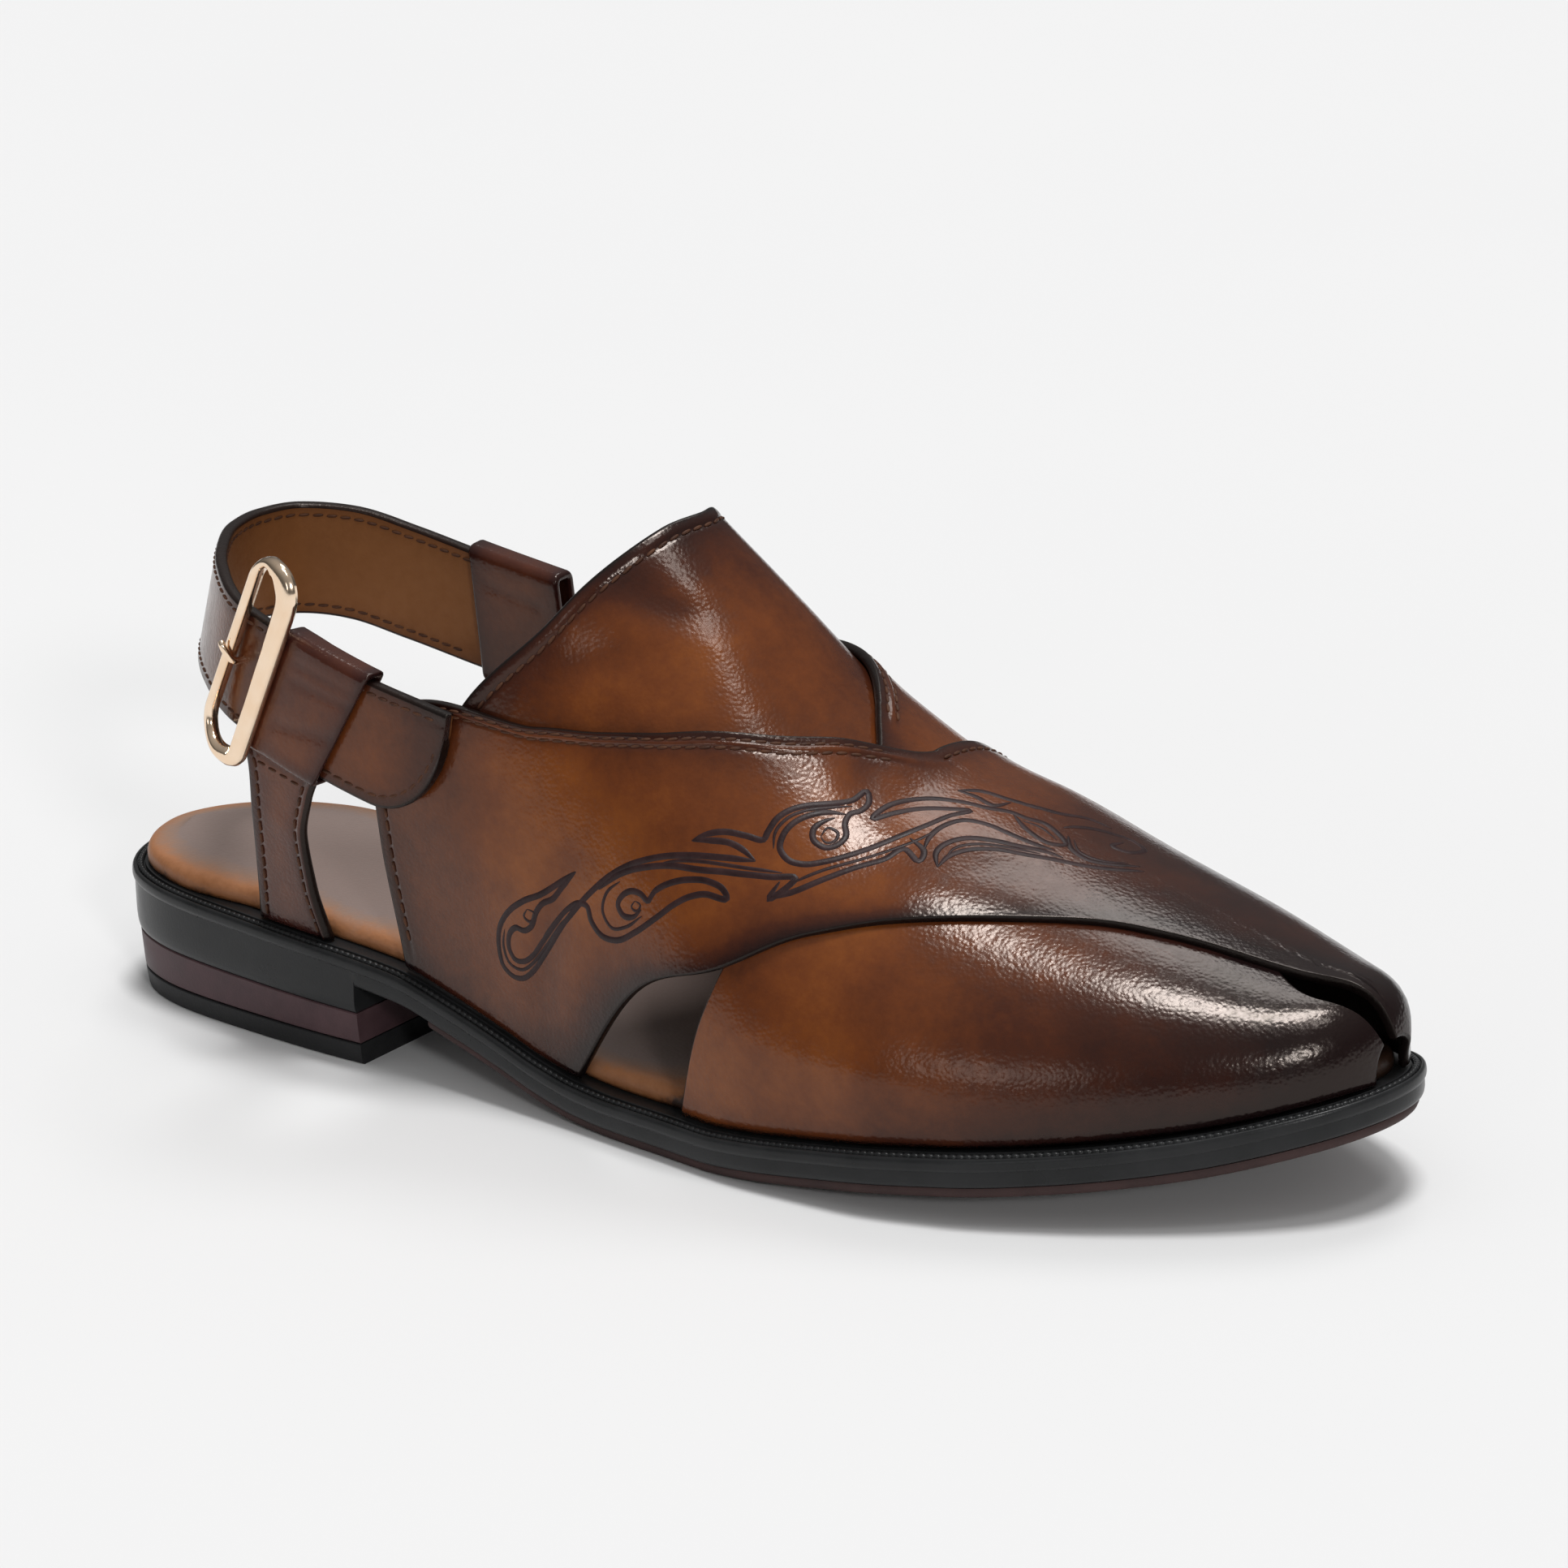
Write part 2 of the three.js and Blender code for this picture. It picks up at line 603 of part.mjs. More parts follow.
// Middle of the strap at a distance from the tip of its tail, with its directions: on along the strap,
// up across its width and out from the foot
function strapFrame(distance) {
  const share = clamp01(distance / strapRun);
  const forward = strapPath.getTangentAt(share);
  const upright = new THREE.Vector3(0, 0, 1).addScaledVector(forward, -forward.z).normalize();
  const outward = new THREE.Vector3().crossVectors(upright, forward);
  const lean = strapLean(strapPath.getUtoTmapping(share));
  const up = upright.clone().multiplyScalar(Math.cos(lean)).addScaledVector(outward, -Math.sin(lean));
  const out = new THREE.Vector3().crossVectors(up, forward);
  const middle = strapPath.getPointAt(share).addScaledVector(forward, distance - share * strapRun);
  return { middle, forward, up, out };
}

// Eight corners of a flat section with eased edges, around a frame
function flatSection(distance, width, thickness, skew = 0, shift = 0) {
  const { middle, forward, up, out } = strapFrame(distance);
  const ease = Math.min(thickness * 0.3, width * 0.2);
  const halfWidth = width / 2;
  const halfThickness = thickness / 2;
  const corners = [
    [halfWidth - ease, halfThickness],
    [-halfWidth + ease, halfThickness],
    [-halfWidth, halfThickness - ease],
    [-halfWidth, -halfThickness + ease],
    [-halfWidth + ease, -halfThickness],
    [halfWidth - ease, -halfThickness],
    [halfWidth, -halfThickness + ease],
    [halfWidth, halfThickness - ease],
  ];
  return corners.map(([w, n]) =>
    middle.clone().addScaledVector(up, w + shift).addScaledVector(out, n).addScaledVector(forward, w * skew),
  );
}

// The buckle lies over the rear end of the lateral sleeve and on the strap behind it

const buckleFrontBar = tailLength + sleeveLength - buckleOverlap;
const strapFace = strapThickness / 2 + layerGap;
const prongHole = buckleWidth - rearBarWidth - prongThickness * 0.8;

// Middle of the frame above the middle of the strap: high over the sleeve, low at the rear bar
function buckleLift(on) {
  const overSleeve = stayWall + layerGap;
  return strapFace + buckleThickness / 2 + overSleeve * (1 - smooth(buckleOverlap, buckleWidth, on));
}

// A point over the strap: on along it, up across it and out from it
function overStrap(on, acrossStrap, outwards) {
  const { middle, forward, up, out } = strapFrame(buckleFrontBar + buckleWidth / 2);
  return middle
    .clone()
    .addScaledVector(forward, on - buckleWidth / 2 - acrossStrap * buckleSkew)
    .addScaledVector(up, acrossStrap + buckleRaise)
    .addScaledVector(out, outwards);
}

// A round rod through points, its radius given by the share of the way
function rodAlong(points, steps, radiusAt) {
  const path = new THREE.CatmullRomCurve3(points, false, 'centripetal');
  const sides = 8;
  const upright = new THREE.Vector3(0, 0, 1);
  const rings = [];
  for (let i = 0; i <= steps; i++) {
    const share = i / steps;
    const middle = path.getPointAt(share);
    const sideways = new THREE.Vector3().crossVectors(path.getTangentAt(share), upright).normalize();
    const square = new THREE.Vector3().crossVectors(sideways, path.getTangentAt(share));
    const ring = [];
    for (let j = 0; j < sides; j++) {
      const angle = (2 * Math.PI * (j + 0.5)) / sides;
      const radius = radiusAt(share);
      const corner = middle.clone().addScaledVector(sideways, radius * Math.cos(angle));
      ring.push(corner.addScaledVector(square, radius * Math.sin(angle)));
    }
    rings.push(ring);
  }
  return stackOfRings(rings);
}

// The tail ends in a point along its upper edge, with its lower corner rounded away
function heelStrap() {
  const tip = strapWidth * 0.62;
  const tipSteps = 6;
  const rings = [];
  for (let i = 0; i <= tipSteps; i++) {
    const angle = (Math.PI / 2) * (i / tipSteps);
    const width = strapWidth * (0.25 + 0.75 * Math.sin(angle));
    const shift = (strapWidth - width) / 2;
    rings.push(flatSection(tip * (1 - Math.cos(angle)), width, strapThickness, 0, shift));
  }
  const steps = 46;
  const end = strapRun - sleeveLength * 0.4;
  for (let i = 1; i <= steps; i++) rings.push(flatSection(tip + ((end - tip) * i) / steps, strapWidth, strapThickness));
  const hole = rodAlong(
    [-strapThickness, strapThickness].map((outwards) => overStrap(prongHole, prongLevel, outwards)),
    1,
    () => prongThickness / 2 + prongHoleRoom,
  );
  return asGeometry(asSolid(stackOfRings(rings)).subtract(asSolid(hole)));
}

// A flat tube round the strap with slanted ends
function sleeve(from, to, skew) {
  const roomy = { width: strapWidth + 2 * layerGap, thickness: strapThickness + 2 * layerGap };
  const steps = 5;
  const tube = (extra, grow) => {
    const rings = [];
    for (let i = 0; i <= steps; i++) {
      const distance = from - grow + ((to - from + 2 * grow) * i) / steps;
      rings.push(flatSection(distance, roomy.width + 2 * extra, roomy.thickness + 2 * extra, skew));
    }
    return stackOfRings(rings);
  };
  return asSolid(tube(stayWall, 0)).subtract(asSolid(tube(0, 2)));
}

// The leg of a stay, from the ledge of the welt up to the middle of its sleeve's lower edge
function stayLeg(side, distance, skew) {
  const { middle, up, out, forward } = strapFrame(distance);
  const sleeveHalf = strapWidth / 2 + layerGap + stayWall * 0.5;
  const footTurn = turnOf(0.205);
  const foot = outlinePoint(footTurn, side, weltShelf);
  const head = middle.clone().addScaledVector(up, -sleeveHalf).addScaledVector(forward, -sleeveHalf * skew);
  const heading = forward.clone().multiplyScalar(side);
  const rear = curveThrough(stayTable, 'up', 'rear');
  const width = curveThrough(stayTable, 'up', 'width');
  const swell = curveThrough(stayTable, 'up', 'swell');
  const rows = 9;
  const columns = 5;
  const legThickness = 1.5 * stayWall;
  const grid = (depth) => {
    const points = [];
    for (let i = 0; i <= rows; i++) {
      const rise = i / rows;
      const row = [];
      for (let j = 0; j <= columns; j++) {
        const across = (j / columns - 0.5) * width(rise) * stayWidth;
        const footPlace = new THREE.Vector3(foot.x + rear(rise) * stayWidth + across, foot.y, 0);
        const edgeAt = outlinePoint(turnOf(clamp01(footPlace.x / soleLength)), side, weltShelf + depth);
        footPlace.setY(edgeAt.y);
        footPlace.setZ(weltTop(footPlace.x) + layerGap);
        const headPlace = head.clone().addScaledVector(heading, across + rear(rise) * stayWidth);
        headPlace.addScaledVector(out, stayWall * 0.5 - depth * 0.5);
        const point = footPlace.lerp(headPlace, rise);
        const bow = Math.sin(Math.PI * rise) * swell(1) * 0.3 * stayWidth;
        row.push(point.addScaledVector(new THREE.Vector3(0, side, 0), bow * swell(rise) * 4));
      }
      points.push(row);
    }
    return points;
  };
  return asSolid(sheetBetween(grid(legThickness), grid(0)));
}

function stay(side, from, to, skew) {
  return asGeometry(sleeve(from, to, skew).add(stayLeg(side, (from + to) / 2, skew)));
}

function buckleFrame() {
  const steps = 40;
  const rings = [];
  const outline = (angle, inset) => {
    const { side, level, across, up } = buckleCorners[Math.floor((angle / (2 * Math.PI)) * 4)];
    const roundAcross = across * buckleWidth;
    const roundUp = up * buckleHeight;
    return new THREE.Vector2(
      side * (buckleWidth / 2 - roundAcross) + Math.cos(angle) * Math.max(roundAcross - inset, 0.5),
      level * (buckleHeight / 2 - roundUp) + Math.sin(angle) * Math.max(roundUp - inset, 0.5),
    );
  };
  for (let i = 0; i < steps; i++) {
    const angle = (2 * Math.PI * (i + 0.5)) / steps;
    const frontness = smooth(-0.2, -0.9, Math.cos(angle));
    const barWidth = rearBarWidth + (frontBarWidth - rearBarWidth) * frontness;
    const section = [
      [0.5, -0.5],
      [0, -0.2],
      [0.1, 0.3],
      [0.35, 0.5],
      [0.65, 0.5],
      [1, 0.1],
      [1, -0.5],
    ];
    rings.push(
      section.map(([share, depth]) => {
        const place = outline(angle, share * barWidth);
        const on = buckleWidth / 2 + place.x;
        return overStrap(on, place.y, buckleLift(on) + depth * buckleThickness);
      }),
    );
  }
  const triangles = [];
  rings.forEach((ring, i) => {
    const following = rings[(i + 1) % rings.length];
    ring.forEach((corner, j) => {
      const next = (j + 1) % ring.length;
      addQuad(triangles, corner, ring[next], following[next], following[j]);
    });
  });
  return weld(triangles);
}

// The prong runs under the strap from the sleeve, up through the hole and over the rear bar
function bucklePin() {
  const under = -strapFace - prongThickness / 2 - layerGap;
  const over = buckleLift(buckleWidth) + (buckleThickness + prongThickness) / 2 + layerGap;
  const path = [
    [buckleOverlap + 2 * layerGap, under],
    [prongHole - prongThickness, under],
    [prongHole, 0],
    [prongHole + layerGap, over - prongThickness],
    [buckleWidth - rearBarWidth / 2, over],
    [buckleWidth + prongThickness / 2, over - layerGap],
  ];
  const points = path.map(([on, outwards]) => {
    const rise = prongRise * smooth(prongHole, buckleWidth, on);
    return overStrap(on, rise + prongLevel, outwards);
  });
  return rodAlong(points, 18, (share) => (prongThickness / 2) * (1 - 0.25 * share));
}

// The finished shoe

function leather(color, roughness) {
  return new THREE.MeshStandardMaterial({ color, roughness, metalness: 0 });
}

function metal(color) {
  return new THREE.MeshStandardMaterial({ color, roughness: 0.2, metalness: 1 });
}

const shoe = new THREE.Group();

function addPiece(name, geometry, material) {
  const mesh = new THREE.Mesh(geometry, material);
  mesh.name = name;
  shoe.add(mesh);
}

addPiece('sole_unit', soleUnit(), leather(0x1a1b1d, 0.45));
addPiece('outsole', outsole(), leather(0x4a3334, 0.6));
addPiece('heel_lift', heelLift(), leather(0x553c42, 0.5));
addPiece('heel_top_piece', heelTopPiece(), leather(0x1b1b1c, 0.55));
addPiece('footbed', footbed(), leather(0x9a7868, 0.5));
addPiece('upper', upper(), leather(0x6b3a1c, 0.3));
addPiece('tongue', tongue(), leather(0x6b3518, 0.3));
addPiece(
  'stay_lateral',
  stay(-1, tailLength, tailLength + sleeveLength, -lateralSkew),
  leather(0x4d2a20, 0.35),
);
addPiece('stay_medial', stay(1, strapRun - sleeveLength, strapRun, -medialSkew), leather(0x3d2420, 0.35));
addPiece('heel_strap', heelStrap(), leather(0x56301f, 0.35));
addPiece('buckle_frame', buckleFrame(), metal(0xd9a886));
addPiece('buckle_pin', bucklePin(), metal(0xd9a886));

// The origin is the middle of the heel's flat face on the floor
shoe.position.x = -heelLength / 2;

export default shoe;
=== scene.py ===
import math

import bpy
import numpy as np
from mathutils import Matrix, Vector


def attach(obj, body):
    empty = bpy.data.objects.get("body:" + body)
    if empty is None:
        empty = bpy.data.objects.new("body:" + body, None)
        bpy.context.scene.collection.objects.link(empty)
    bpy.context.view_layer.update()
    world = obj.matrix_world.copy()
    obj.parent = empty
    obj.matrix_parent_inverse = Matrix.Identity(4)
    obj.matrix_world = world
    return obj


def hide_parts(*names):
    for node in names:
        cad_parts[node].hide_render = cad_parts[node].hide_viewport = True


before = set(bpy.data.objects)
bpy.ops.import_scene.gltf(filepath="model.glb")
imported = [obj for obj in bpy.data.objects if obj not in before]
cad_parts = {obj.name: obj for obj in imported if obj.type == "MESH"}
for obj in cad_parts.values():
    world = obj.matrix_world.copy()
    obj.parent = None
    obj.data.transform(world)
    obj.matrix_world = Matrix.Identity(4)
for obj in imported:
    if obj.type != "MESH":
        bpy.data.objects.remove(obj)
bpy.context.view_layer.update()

print("the packed shoe is loaded")

# Sizes of the last and the sole in millimetres, from the back of the heel
lastSizes = {
    "length": 300, "ball": 100, "seat": 27.1, "edge": 8.8, "spring": 16.6, "instep": 113.4,
    "shelf": 3, "wall": 2, "tongueWall": 1.6, "gap": 0.3, "heel": 80,
}
# Outline of the welt: place along, little-toe side, big-toe side
outlineRows = [
    (0, 0, 0), (0.04, -0.222, 0.215), (0.083, -0.278, 0.285), (0.15, -0.316, 0.326),
    (0.233, -0.346, 0.325), (0.333, -0.365, 0.295), (0.433, -0.405, 0.3), (0.533, -0.458, 0.36),
    (0.633, -0.504, 0.455), (0.7, -0.508, 0.495), (0.767, -0.476, 0.485), (0.833, -0.403, 0.435),
    (0.9, -0.297, 0.36), (0.95, -0.191, 0.285), (0.983, -0.09, 0.2), (1, 0.065, 0.065),
]
# Line of the sole from the side: place along, share of the heel seat, share of the toe spring
profileRows = [
    (0, 1, 0), (0.2, 0.869, 0), (0.3, 0.732, 0), (0.35, 0.52, 0), (0.4, 0.29, 0), (0.433, 0.13, 0),
    (0.467, 0.03, 0), (0.5, 0, 0), (0.58, 0, 0), (0.617, 0, 0.05), (0.717, 0, 0.247), (0.817, 0, 0.4),
    (0.9, 0, 0.596), (1, 0, 1),
]
# Sections of the last: place along, ridge, across, upright, crown, swell
lastRows = [
    (0.26, 1.25, 0.02, 0.84, 0.92, 0.07), (0.33, 1.2, 0.02, 0.8, 0.9, 0.06),
    (0.43, 1.105, 0.02, 0.62, 0.55, 0.03), (0.479, 1, 0.025, 0.6, 0.5, 0.02),
    (0.531, 0.865, 0.035, 0.6, 0.54, 0.02), (0.603, 0.658, 0.05, 0.6, 0.58, 0.02),
    (0.672, 0.51, 0.065, 0.6, 0.6, 0.02), (0.71, 0.462, 0.068, 0.6, 0.6, 0.03),
    (0.81, 0.358, 0.068, 0.62, 0.62, 0.03), (0.86, 0.3, 0.065, 0.64, 0.66, 0.03),
    (0.945, 0.19, 0.063, 0.68, 0.72, 0.02), (0.985, 0.14, 0.063, 0.68, 0.72, 0.01),
    (1, 0, 0.065, 0.6, 0.6, 0),
]
# Edges of the panels and the tongue on the last: step, place along, place around
outerBack = [
    (0, 0.307, 0), (0.08, 0.298, 0.045), (0.17, 0.297, 0.08), (0.24, 0.32, 0.11), (0.38, 0.44, 0.19),
    (0.46, 0.515, 0.255), (0.52, 0.567, 0.33), (0.58, 0.61, 0.415), (0.64, 0.648, 0.5),
    (0.76, 0.645, 0.65), (0.88, 0.605, 0.85), (1, 0.557, 1),
]
outerFront = [
    (0, 0.463, 0), (0.12, 0.53, 0.077), (0.24, 0.603, 0.14), (0.34, 0.655, 0.209), (0.48, 0.755, 0.307),
    (0.62, 0.848, 0.397), (0.76, 0.935, 0.445), (0.86, 0.975, 0.46), (0.93, 0.997, 0.47), (1, 0.997, 1),
]
innerBack = [
    (0, 0.307, 1), (0.08, 0.303, 0.955), (0.17, 0.308, 0.915), (0.24, 0.34, 0.875), (0.4, 0.455, 0.79),
    (0.52, 0.55, 0.66), (0.64, 0.607, 0.5), (0.72, 0.632, 0.42), (0.82, 0.63, 0.27), (0.92, 0.594, 0.12),
    (1, 0.557, 0),
]
innerFront = [
    (0, 0.463, 1), (0.12, 0.533, 0.925), (0.24, 0.603, 0.865), (0.34, 0.655, 0.8), (0.48, 0.755, 0.71),
    (0.62, 0.848, 0.6), (0.76, 0.925, 0.46), (0.86, 0.965, 0.38), (0.93, 0.997, 0.35), (1, 0.997, 0),
]
tongueBack = [
    (0, 0.36, 0.125), (0.25, 0.436, 0.28), (0.42, 0.471, 0.42), (0.5, 0.479, 0.5), (0.58, 0.471, 0.58),
    (0.75, 0.436, 0.72), (1, 0.36, 0.875),
]
tongueFront = [(0, 0.4, 0.11), (0.25, 0.54, 0.23), (0.5, 0.665, 0.5), (0.75, 0.54, 0.77), (1, 0.4, 0.89)]


def smooth(start, end, value):
    share = np.clip((np.asarray(value, float) - start) / (end - start), 0, 1)
    return share * share * (3 - 2 * share)


def curveThrough(keys, values):  # monotone cubic, so that a curve never overshoots its rows
    keys, values = np.array(keys, float), np.array(values, float)
    spans = np.diff(keys)
    slopes = np.diff(values) / spans
    tangents = np.zeros(len(keys))
    tangents[0], tangents[-1] = slopes[0], slopes[-1]
    for i in range(1, len(keys) - 1):
        if slopes[i - 1] * slopes[i] > 0:
            before = 2 * spans[i] + spans[i - 1]
            after = spans[i] + 2 * spans[i - 1]
            tangents[i] = (before + after) / (before / slopes[i - 1] + after / slopes[i])

    def at(key):
        key = np.asarray(key, float)
        i = np.clip(np.searchsorted(keys, key, side="left") - 1, 0, len(keys) - 2)
        s = np.clip((key - keys[i]) / spans[i], 0, 1)
        return (
            values[i] * (2 * s**3 - 3 * s**2 + 1)
            + tangents[i] * spans[i] * (s**3 - 2 * s**2 + s)
            + values[i + 1] * (3 * s**2 - 2 * s**3)
            + tangents[i + 1] * spans[i] * (s**3 - s**2)
        )

    return at


def column(rows, index):
    return [row[index] for row in rows]


def turnOf(along):
    return np.arccos(1 - 2 * np.clip(along, 0, 1))


def alongOf(turn):
    return (1 - np.cos(turn)) / 2


outlineTurns = turnOf(np.array(column(outlineRows, 0)))
lateralEdge = curveThrough(outlineTurns, column(outlineRows, 1))
medialEdge = curveThrough(outlineTurns, column(outlineRows, 2))
seatShare = curveThrough(column(profileRows, 0), column(profileRows, 1))
springShare = curveThrough(column(profileRows, 0), column(profileRows, 2))
lastTurns = turnOf(np.array(column(lastRows, 0)))
ridgeShare, ridgeAcross, uprightShare, crownShare, swellShare = [
    curveThrough(lastTurns, column(lastRows, index)) for index in range(1, 6)
]


def floorLine(x):  # underside of the sole over the floor
    along = np.clip(np.asarray(x, float) / lastSizes["length"], 0, 1)
    seatRise = lastSizes["seat"] - lastSizes["edge"]
    return seatRise * seatShare(along) + lastSizes["spring"] * springShare(along)


def weltTop(x):
    return floorLine(x) + lastSizes["edge"]


def outlinePoint(turn, side, inset):  # side is -1 to the little toe and 1 to the big toe
    turn = np.asarray(turn, float)
    edge, other = (lateralEdge, medialEdge) if side < 0 else (medialEdge, lateralEdge)

    def at(angle):
        folded = np.where(angle < 0, -angle, np.where(angle > np.pi, 2 * np.pi - angle, angle))
        beyond = (angle < 0) | (angle > np.pi)
        across = np.where(beyond, other(folded), edge(folded)) * lastSizes["ball"]
        return np.stack([alongOf(folded) * lastSizes["length"], across], -1)

    step = 0.03  # radians to each side for the tangent
    tangent = at(turn + step) - at(turn - step)
    tangent /= np.linalg.norm(tangent, axis=-1, keepdims=True)
    inward = np.stack([tangent[..., 1] * side, -tangent[..., 0] * side], -1)
    point = at(turn)
    depth = inset(point[..., 0]) if callable(inset) else inset
    return point + inward * np.asarray(depth, float)[..., None]


def lastPoint(along, around):  # around runs from the little-toe side over the ridge to the big-toe side
    along, around = np.broadcast_arrays(np.asarray(along, float), np.asarray(around, float))
    turn = turnOf(along)
    lateral = around < 0.5
    climb = np.clip(np.where(lateral, around * 2, (1 - around) * 2), 0, 1)[..., None]
    inset = lastSizes["shelf"] + lastSizes["wall"]
    base = np.where(lateral[..., None], outlinePoint(turn, -1, inset), outlinePoint(turn, 1, inset))
    baseHeight = weltTop(base[..., 0]) + lastSizes["gap"]
    ridgeX = inset + (lastSizes["length"] - 2 * inset) * along
    ridgeY = ridgeAcross(turn) * lastSizes["ball"]
    ridgeZ = baseHeight + ridgeShare(turn) * (lastSizes["instep"] - lastSizes["edge"])
    swell = np.where(lateral, -1, 1) * swellShare(turn) * lastSizes["ball"]
    a = np.stack([base[..., 0], base[..., 1], baseHeight], -1)
    uprightZ = baseHeight + (ridgeZ - baseHeight) * uprightShare(turn)
    b = np.stack([base[..., 0], base[..., 1] + swell, uprightZ], -1)
    c = np.stack([ridgeX, ridgeY + (base[..., 1] - ridgeY) * crownShare(turn), ridgeZ], -1)
    d = np.stack([ridgeX, ridgeY, ridgeZ], -1)
    rest = 1 - climb
    return a * rest**3 + 3 * b * rest**2 * climb + 3 * c * rest * climb**2 + d * climb**3


def liftedPoint(along, around, lift):  # off the last, square to its surface
    along, around = np.broadcast_arrays(np.asarray(along, float), np.clip(np.asarray(around, float), 0, 1))
    reach, tip = 0.004, 0.9995
    ahead = np.minimum(along + reach, tip)
    alongStep = lastPoint(ahead, around) - lastPoint(ahead - 2 * reach, around)
    later, earlier = np.clip(around + reach, 0, 1), np.clip(around - reach, 0, 1)
    aroundStep = lastPoint(along, later) - lastPoint(along, earlier)
    out = np.cross(alongStep, aroundStep)
    foot = (around <= 0) | (around >= 1)
    out[..., 2] = np.where(foot, 0, out[..., 2])
    out /= np.linalg.norm(out, axis=-1, keepdims=True)
    point = lastPoint(along, around) + out * np.asarray(lift, float)[..., None]
    ledge = weltTop(point[..., 0]) + lastSizes["gap"]
    point[..., 2] = np.where(foot, ledge, np.maximum(point[..., 2], ledge))
    return point


def tongueRoom(along, around):  # lift over the tongue
    awayFromSole = smooth(0, 0.09, np.minimum(around, 1 - around))
    return (lastSizes["tongueWall"] + lastSizes["gap"]) * awayFromSole * (1 - smooth(0.7, 0.8, along))


def crossingRoom(along, around):  # lift over the tongue and the inner panel
    overInner = smooth(0.5, 0.58, along) * smooth(0, 0.09, around)
    return tongueRoom(along, around) + (lastSizes["wall"] - 0.5) * overInner * (1 - smooth(0.7, 0.92, around))


print("the last and the sole lines are set")


def unit(vectors):
    return vectors / np.linalg.norm(vectors, axis=-1, keepdims=True)


def splinePlaces(points, shares):  # a centripetal curve through the points
    points = np.array(points, float)
    padded = np.vstack([2 * points[0] - points[1], points, 2 * points[-1] - points[-2]])
    place = np.clip(np.asarray(shares, float), 0, 1) * (len(points) - 1)
    index = np.minimum(place.astype(int), len(points) - 2)
    weight = (place - index)[..., None]
    p0, p1, p2, p3 = [padded[index + k] for k in range(4)]
    pairs = (p0, p1), (p1, p2), (p2, p3)
    d0, d1, d2 = [np.maximum(np.sum((b - a) ** 2, -1, keepdims=True) ** 0.25, 1e-4) for a, b in pairs]
    m1 = ((p1 - p0) / d0 - (p2 - p0) / (d0 + d1) + (p2 - p1) / d1) * d1
    m2 = ((p2 - p1) / d1 - (p3 - p1) / (d1 + d2) + (p3 - p2) / d2) * d1
    rise = 3 * (p2 - p1) - 2 * m1 - m2
    return p1 + m1 * weight + rise * weight**2 + (2 * (p1 - p2) + m1 + m2) * weight**3


def evenSteps(points, pitch):  # lengths along a path, the middles of even steps and the step
    lengths = np.concatenate([[0], np.cumsum(np.linalg.norm(np.diff(points, axis=0), axis=1))])
    count = max(int(round(lengths[-1] / pitch)), 2)
    return lengths, (np.arange(count) + 0.5) * lengths[-1] / count, lengths[-1] / count


# Finishes

def newFinish(name):
    finish = bpy.data.materials.new(name)
    finish.use_nodes = True
    return finish, finish.node_tree, finish.node_tree.nodes["Principled BSDF"]


def addNode(tree, kind, inputs, **settings):
    node = tree.nodes.new(kind)
    for key, value in settings.items():
        setattr(node, key, value)
    for key, value in inputs.items():
        if isinstance(value, bpy.types.NodeSocket):
            tree.links.new(value, node.inputs[key])
        else:
            node.inputs[key].default_value = value
    return node


def figure(tree, operation, first, second):
    return addNode(tree, "ShaderNodeMath", {0: first, 1: second}, operation=operation).outputs[0]


def noise(tree, place, scale, detail):
    inputs = {"Vector": place, "Scale": scale, "Detail": detail, "Roughness": 0.6}
    return addNode(tree, "ShaderNodeTexNoise", inputs).outputs["Fac"]


def ramp(tree, share, stops):
    node = addNode(tree, "ShaderNodeValToRGB", {"Fac": share})
    elements = node.color_ramp.elements
    while len(elements) < len(stops):
        elements.new(0.5)
    for element, (position, color) in zip(elements, stops):
        element.position = position
        element.color = (*color, 1)
    return node.outputs["Color"]


def span(tree, value, low, high):
    inputs = {"Value": value, "From Min": 0.3, "From Max": 0.7, "To Min": low, "To Max": high}
    return addNode(tree, "ShaderNodeMapRange", inputs).outputs["Result"]


